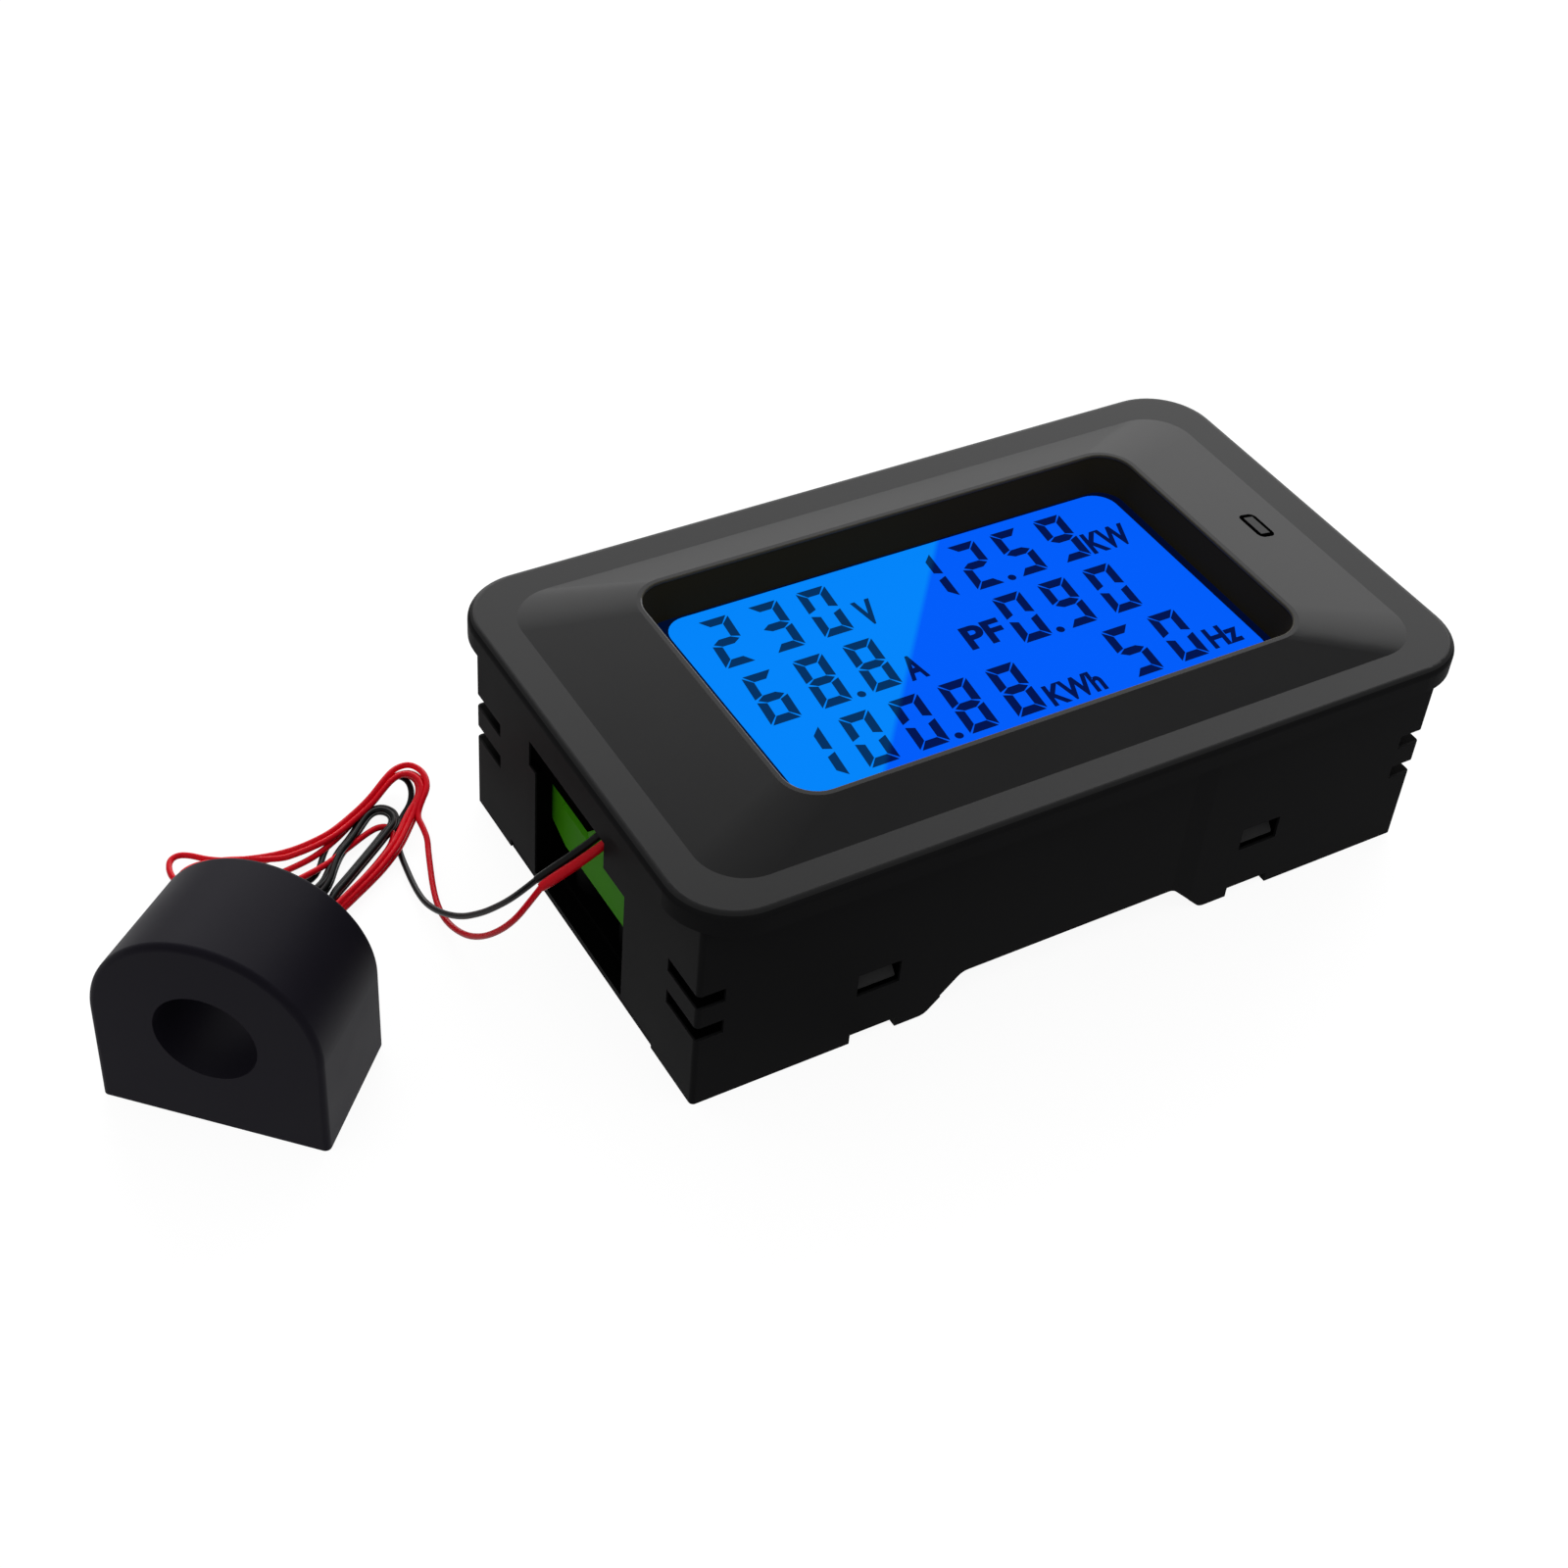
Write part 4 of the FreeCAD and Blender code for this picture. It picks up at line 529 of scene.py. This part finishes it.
def lit(name, pale, deep, glow=1.0):
    """A face lit from behind, with a painted glare: pale on one side of a slanting line, deep on the other.
    """
    recipe = Recipe(name)
    from_edge = recipe.node("ShaderNodeVectorMath", {"operation": "SUBTRACT"},
                            {0: recipe.place(), 1: GLARE_EDGE})
    side = recipe.node("ShaderNodeVectorMath", {"operation": "DOT_PRODUCT"},
                       {0: from_edge, 1: GLARE_SIDE}, output=1)
    share = recipe.node("ShaderNodeMath", {"operation": "ADD", "use_clamp": True},
                        {0: side * (1 / GLARE_BLUR), 1: 0.5})
    tone = recipe.mix(share, rgb(*deep), rgb(*pale))
    return recipe.finish(Base_Color=rgb(0.001, 0.004, 0.02), Roughness=0.3 + 0.1 * recipe.noise(0.004),
                         Specular_IOR_Level=0.0, Emission_Color=tone, Emission_Strength=glow)


finishes["polariser"] = lit("lit polariser", (0.001, 0.232, 0.95), (0.0003, 0.108, 0.95))
finishes["display_glass"] = lit("display glass", (0.01, 0.12, 0.7), (0.01, 0.12, 0.7), 0.3)
finishes["guide_clear"] = moulded("light guide", (0.72, 0.8, 0.88), 0.12, specular=0.5)
board = Recipe("board lacquer")
# The sawn edges are painted near black: painted shade for the edge that shows in the slot of the wall.
sawn = (board.upright() < STEEP) * (board.upright() > -STEEP)
lacquer = board.mix(board.noise(0.0016, 2.0), rgb(0.008, 0.10, 0.035), rgb(0.014, 0.16, 0.055))
finishes["board_green"] = board.finish(Base_Color=board.mix(sawn, lacquer, rgb(0.0016, 0.0016, 0.0014)),
                                       Roughness=0.35 + 0.4 * sawn, Specular_IOR_Level=0.0)
print("finishes", len(finishes))

# %% [markdown]
# The record names a finish for each piece of the CAD model, so one loop paints them all. The leads take
# the finish of what they replace, the wedges that of the housing, and the bead has one of its own. Each
# new piece is told which body it rides on.

# %% Paint the model
for part in frame["record"]["subparts"]:
    slots = nodes[part["node"]].data.materials
    slots.clear()
    slots.append(finishes[part["material_slot"]])
for piece, slot in ((red_wire, "wire_red"), (red_sleeve, "wire_red"),
                    (black_wire, "wire_black"), (black_sleeve, "wire_black")):
    piece.data.materials.append(finishes[slot])
    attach(piece, "meter")
window_bead.data.materials.append(finishes["rim"])
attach(window_bead, "meter")
panel_wedges.data.materials.append(finishes["housing_black"])
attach(panel_wedges, "meter")
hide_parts("red_lead", "red_hank", "red_tail")
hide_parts("black_lead", "black_hank", "black_tail")
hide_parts("red_sleeve")
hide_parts("black_sleeve")

# %% [markdown]
# The figures on the display are dark segments. In a real display they lie under the polariser. Here they
# lie on its face, where they can be seen. Each is a flat shape of four or six corners, pushed up by a
# hair's breadth, so that it is part of the model and not only of its colour. A digit is named by the
# segments that are dark: a at the top, then b to f clockwise, and g in the middle.

# %% Figures of the display
GLASS_TOP = 0.0002
PRINT = 0.000012
DIGIT_WIDTH = 0.0034
DIGIT_HEIGHT = 0.0075
STROKE = 0.00096
BAR = 0.00110
SEAM = 0.00007
CORNER_CUT = 0.1 * STROKE
MIDDLE_CUT = 0.15 * STROKE
BAR_TIP = 0.25 * STROKE
POINT = 0.00046
LETTER_WEIGHT = 0.036
LEAN = 0.104
DARK = {"0": "abcdef", "1": "bc", "2": "abged", "3": "abgcd", "5": "afgcd", "6": "afgcde",
        "8": "abcdefg", "9": "abcdfg"}
figures = bmesh.new()


def plate(points):
    """A thin raised plate with these corners."""
    corners = [figures.verts.new((x, y, GLASS_TOP)) for x, y in points]
    face = figures.faces.new(corners)
    made = bmesh.ops.extrude_face_region(figures, geom=[face])["geom"]
    raised = [item for item in made if isinstance(item, bmesh.types.BMVert)]
    bmesh.ops.translate(figures, verts=raised, vec=(0, 0, PRINT))


def digit(figure, left, base):
    """One seven-segment digit with its lower left corner at left, base."""
    wide, tall, middle, half = DIGIT_WIDTH, DIGIT_HEIGHT, DIGIT_HEIGHT / 2, BAR / 2
    inner, outer = STROKE + SEAM, SEAM + CORNER_CUT
    shapes = {
        "a": ((outer, tall), (wide - outer, tall), (wide - inner, tall - BAR), (inner, tall - BAR)),
        "d": ((inner, BAR), (wide - inner, BAR), (wide - outer, 0), (outer, 0)),
        "g": ((BAR_TIP, middle), (inner, middle + half), (wide - inner, middle + half),
              (wide - BAR_TIP, middle), (wide - inner, middle - half), (inner, middle - half)),
    }
    for name, mirrored, low, high in (("f", "b", middle, tall), ("e", "c", 0, middle)):
        upper = name == "f"
        top = high - (BAR if upper else half) - SEAM
        foot = low + (half if upper else BAR) + SEAM
        outer_top = high - SEAM - (CORNER_CUT if upper else MIDDLE_CUT)
        outer_foot = low + SEAM + (MIDDLE_CUT if upper else CORNER_CUT)
        shapes[name] = ((0, outer_foot), (0, outer_top), (STROKE, top), (STROKE, foot))
        shapes[mirrored] = tuple((wide - x, y) for x, y in shapes[name])[::-1]
    for name in DARK[figure]:
        plate([(left + x + LEAN * y, base + y) for x, y in shapes[name]])


def row(text, lefts, base):
    """Digits at these places along one line."""
    for figure, left in zip(text, lefts):
        digit(figure, left, base)


row("230", (-0.0240, -0.0183, -0.01265), 0.00635)
row("688", (-0.0242, -0.01845, -0.0127), -0.00295)
row("10088", (-0.0244, -0.01875, -0.0131, -0.0074, -0.00175), -0.01225)
row("1259", (0.0001, 0.0057, 0.0111, 0.0167), 0.00635)
row("090", (0.00526, 0.0109, 0.01659), -0.00295)
row("50", (0.01245, 0.0182), -0.01225)
for across, up in ((0.0101, 0.0067), (-0.0139, -0.0026), (0.0098, -0.0026), (-0.00855, -0.0119)):
    bmesh.ops.create_circle(figures, cap_ends=True, segments=16, radius=POINT,
                            matrix=Matrix.Translation((across, up, GLASS_TOP + PRINT)))


def lettering(text, low, high):
    """Letters between two corners, thickened a little, added to the figures."""
    data = bpy.data.curves.new(text, "FONT")
    data.body = text
    data.extrude = PRINT / 2
    data.offset = LETTER_WEIGHT
    written = bpy.data.objects.new(text, data)
    mesh = bpy.data.meshes.new_from_object(written)
    places = [vertex.co for vertex in mesh.vertices]
    least = Vector(map(min, zip(*places)))
    most = Vector(map(max, zip(*places)))
    wide = (high[0] - low[0]) / (most.x - least.x)
    tall = (high[1] - low[1]) / (most.y - least.y)
    for vertex in mesh.vertices:
        up = (vertex.co.y - least.y) * tall
        vertex.co = (low[0] + (vertex.co.x - least.x) * wide + LEAN * up, low[1] + up,
                     GLASS_TOP + PRINT / 2 + vertex.co.z)
    figures.from_mesh(mesh)
    bpy.data.objects.remove(written)


lettering("V", (-0.0080, 0.0062), (-0.0058, 0.0101))
lettering("A", (-0.0083, -0.0031), (-0.0062, 0.0005))
lettering("KWh", (0.0024, -0.0124), (0.0089, -0.0093))
lettering("KW", (0.0204, 0.0063), (0.0258, 0.0098))
lettering("PF", (-0.0002, -0.0016), (0.0044, 0.0019))
lettering("Hz", (0.0225, -0.0120), (0.0263, -0.0089))
bmesh.ops.recalc_face_normals(figures, faces=figures.faces)
display_figures = mesh_object("display_figures", figures)
# The segments carry the same painted glare as the lit face under them.
dark_segments = lit("dark segments", (0.0012, 0.030, 0.115), (0.0003, 0.0055, 0.075))
display_figures.data.materials.append(dark_segments)
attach(display_figures, "meter")
print("figures", len(display_figures.data.polygons), "faces")

# %% [markdown]
# A dark printed border frames the lit area. It is a flat ring between two rounded rectangles, and its
# inner corners are what gives the display its rounded look.

# %% Border of the display
BORDER_OUT = (0.02873, 0.01558)
BORDER_IN = (0.02727, 0.01530)
BORDER_SHIFTS = (0.0, 0.00052)
BORDER_CORNERS = (0.0027, 0.0026)
BORDER_LIFT = 0.00003
border = bmesh.new()
rings = []
for half, corner, shift in zip((BORDER_OUT, BORDER_IN), BORDER_CORNERS, BORDER_SHIFTS):
    rings.append([border.verts.new((x + shift, y, GLASS_TOP + BORDER_LIFT))
                  for x, y in round_line(half, corner)])
outer, inner = rings
for step in range(len(outer)):
    border.faces.new((outer[step - 1], outer[step], inner[step], inner[step - 1]))
display_border = mesh_object("display_border", border)
display_border.data.materials.append(lit("border print", (0.0003, 0.003, 0.02), (0.0003, 0.002, 0.02)))
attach(display_border, "meter")
print("border", len(display_border.data.polygons), "faces")

# %% [markdown]
# The floor is white and keeps the object's soft shadow. What the camera and the reflections see of it
# gets a little extra light, so that it reads as pure white without more light on the object. A wide soft
# light behind the meter makes the bright sheen on the far slope, and a dim even sky fills the rest.

# %% Floor and light
FLOOR_LEVEL = -0.0238
FLOOR_GAP = 0.00002
FLOOR_SIZE = 6.0
FLOOR_GLOW = 0.92
FLOOR_TONE = 0.2
SKY = 0.45
LAMP_PLACE = Vector((0.60, 0.88, 0.50))
LAMP_SIZE = (1.5, 0.9)
LAMP_POWER = 10.2
floor_shape = bmesh.new()
bmesh.ops.create_grid(floor_shape, x_segments=1, y_segments=1, size=FLOOR_SIZE,
                      matrix=Matrix.Translation((0, 0, FLOOR_LEVEL - FLOOR_GAP)))
floor = mesh_object("floor", floor_shape)
white = Recipe("white floor")
path = white.node("ShaderNodeLightPath")
glossy = Value(white, path.socket.node.outputs["Is Glossy Ray"])
through = Value(white, path.socket.node.outputs["Is Transmission Ray"])
seen = path + glossy + through
glow = white.node("ShaderNodeEmission", None, {"Strength": seen * FLOOR_GLOW})
matt = white.node("ShaderNodeBsdfDiffuse", None, {"Color": rgb(FLOOR_TONE, FLOOR_TONE, FLOOR_TONE)})
both = white.node("ShaderNodeAddShader", None, {0: matt, 1: glow})
white.node("ShaderNodeOutputMaterial", None, {"Surface": both}, output=None)
floor.data.materials.append(white.material)

world = bpy.data.worlds.new("sky")
world.use_nodes = True
world.node_tree.nodes["Background"].inputs["Color"].default_value = rgb(SKY, SKY, SKY)
bpy.context.scene.world = world

lamp_data = bpy.data.lights.new("back_light", "AREA")
lamp_data.shape = "RECTANGLE"
lamp_data.size, lamp_data.size_y = LAMP_SIZE
lamp_data.energy = LAMP_POWER
lamp = bpy.data.objects.new("back_light", lamp_data)
bpy.context.scene.collection.objects.link(lamp)
lamp_turn = (-LAMP_PLACE).to_track_quat("-Z", "Y").to_matrix().to_4x4()
lamp.matrix_world = Matrix.Translation(LAMP_PLACE) @ lamp_turn
bpy.context.scene.view_settings.view_transform = "Standard"
print("lights", [light.name for light in bpy.data.lights])
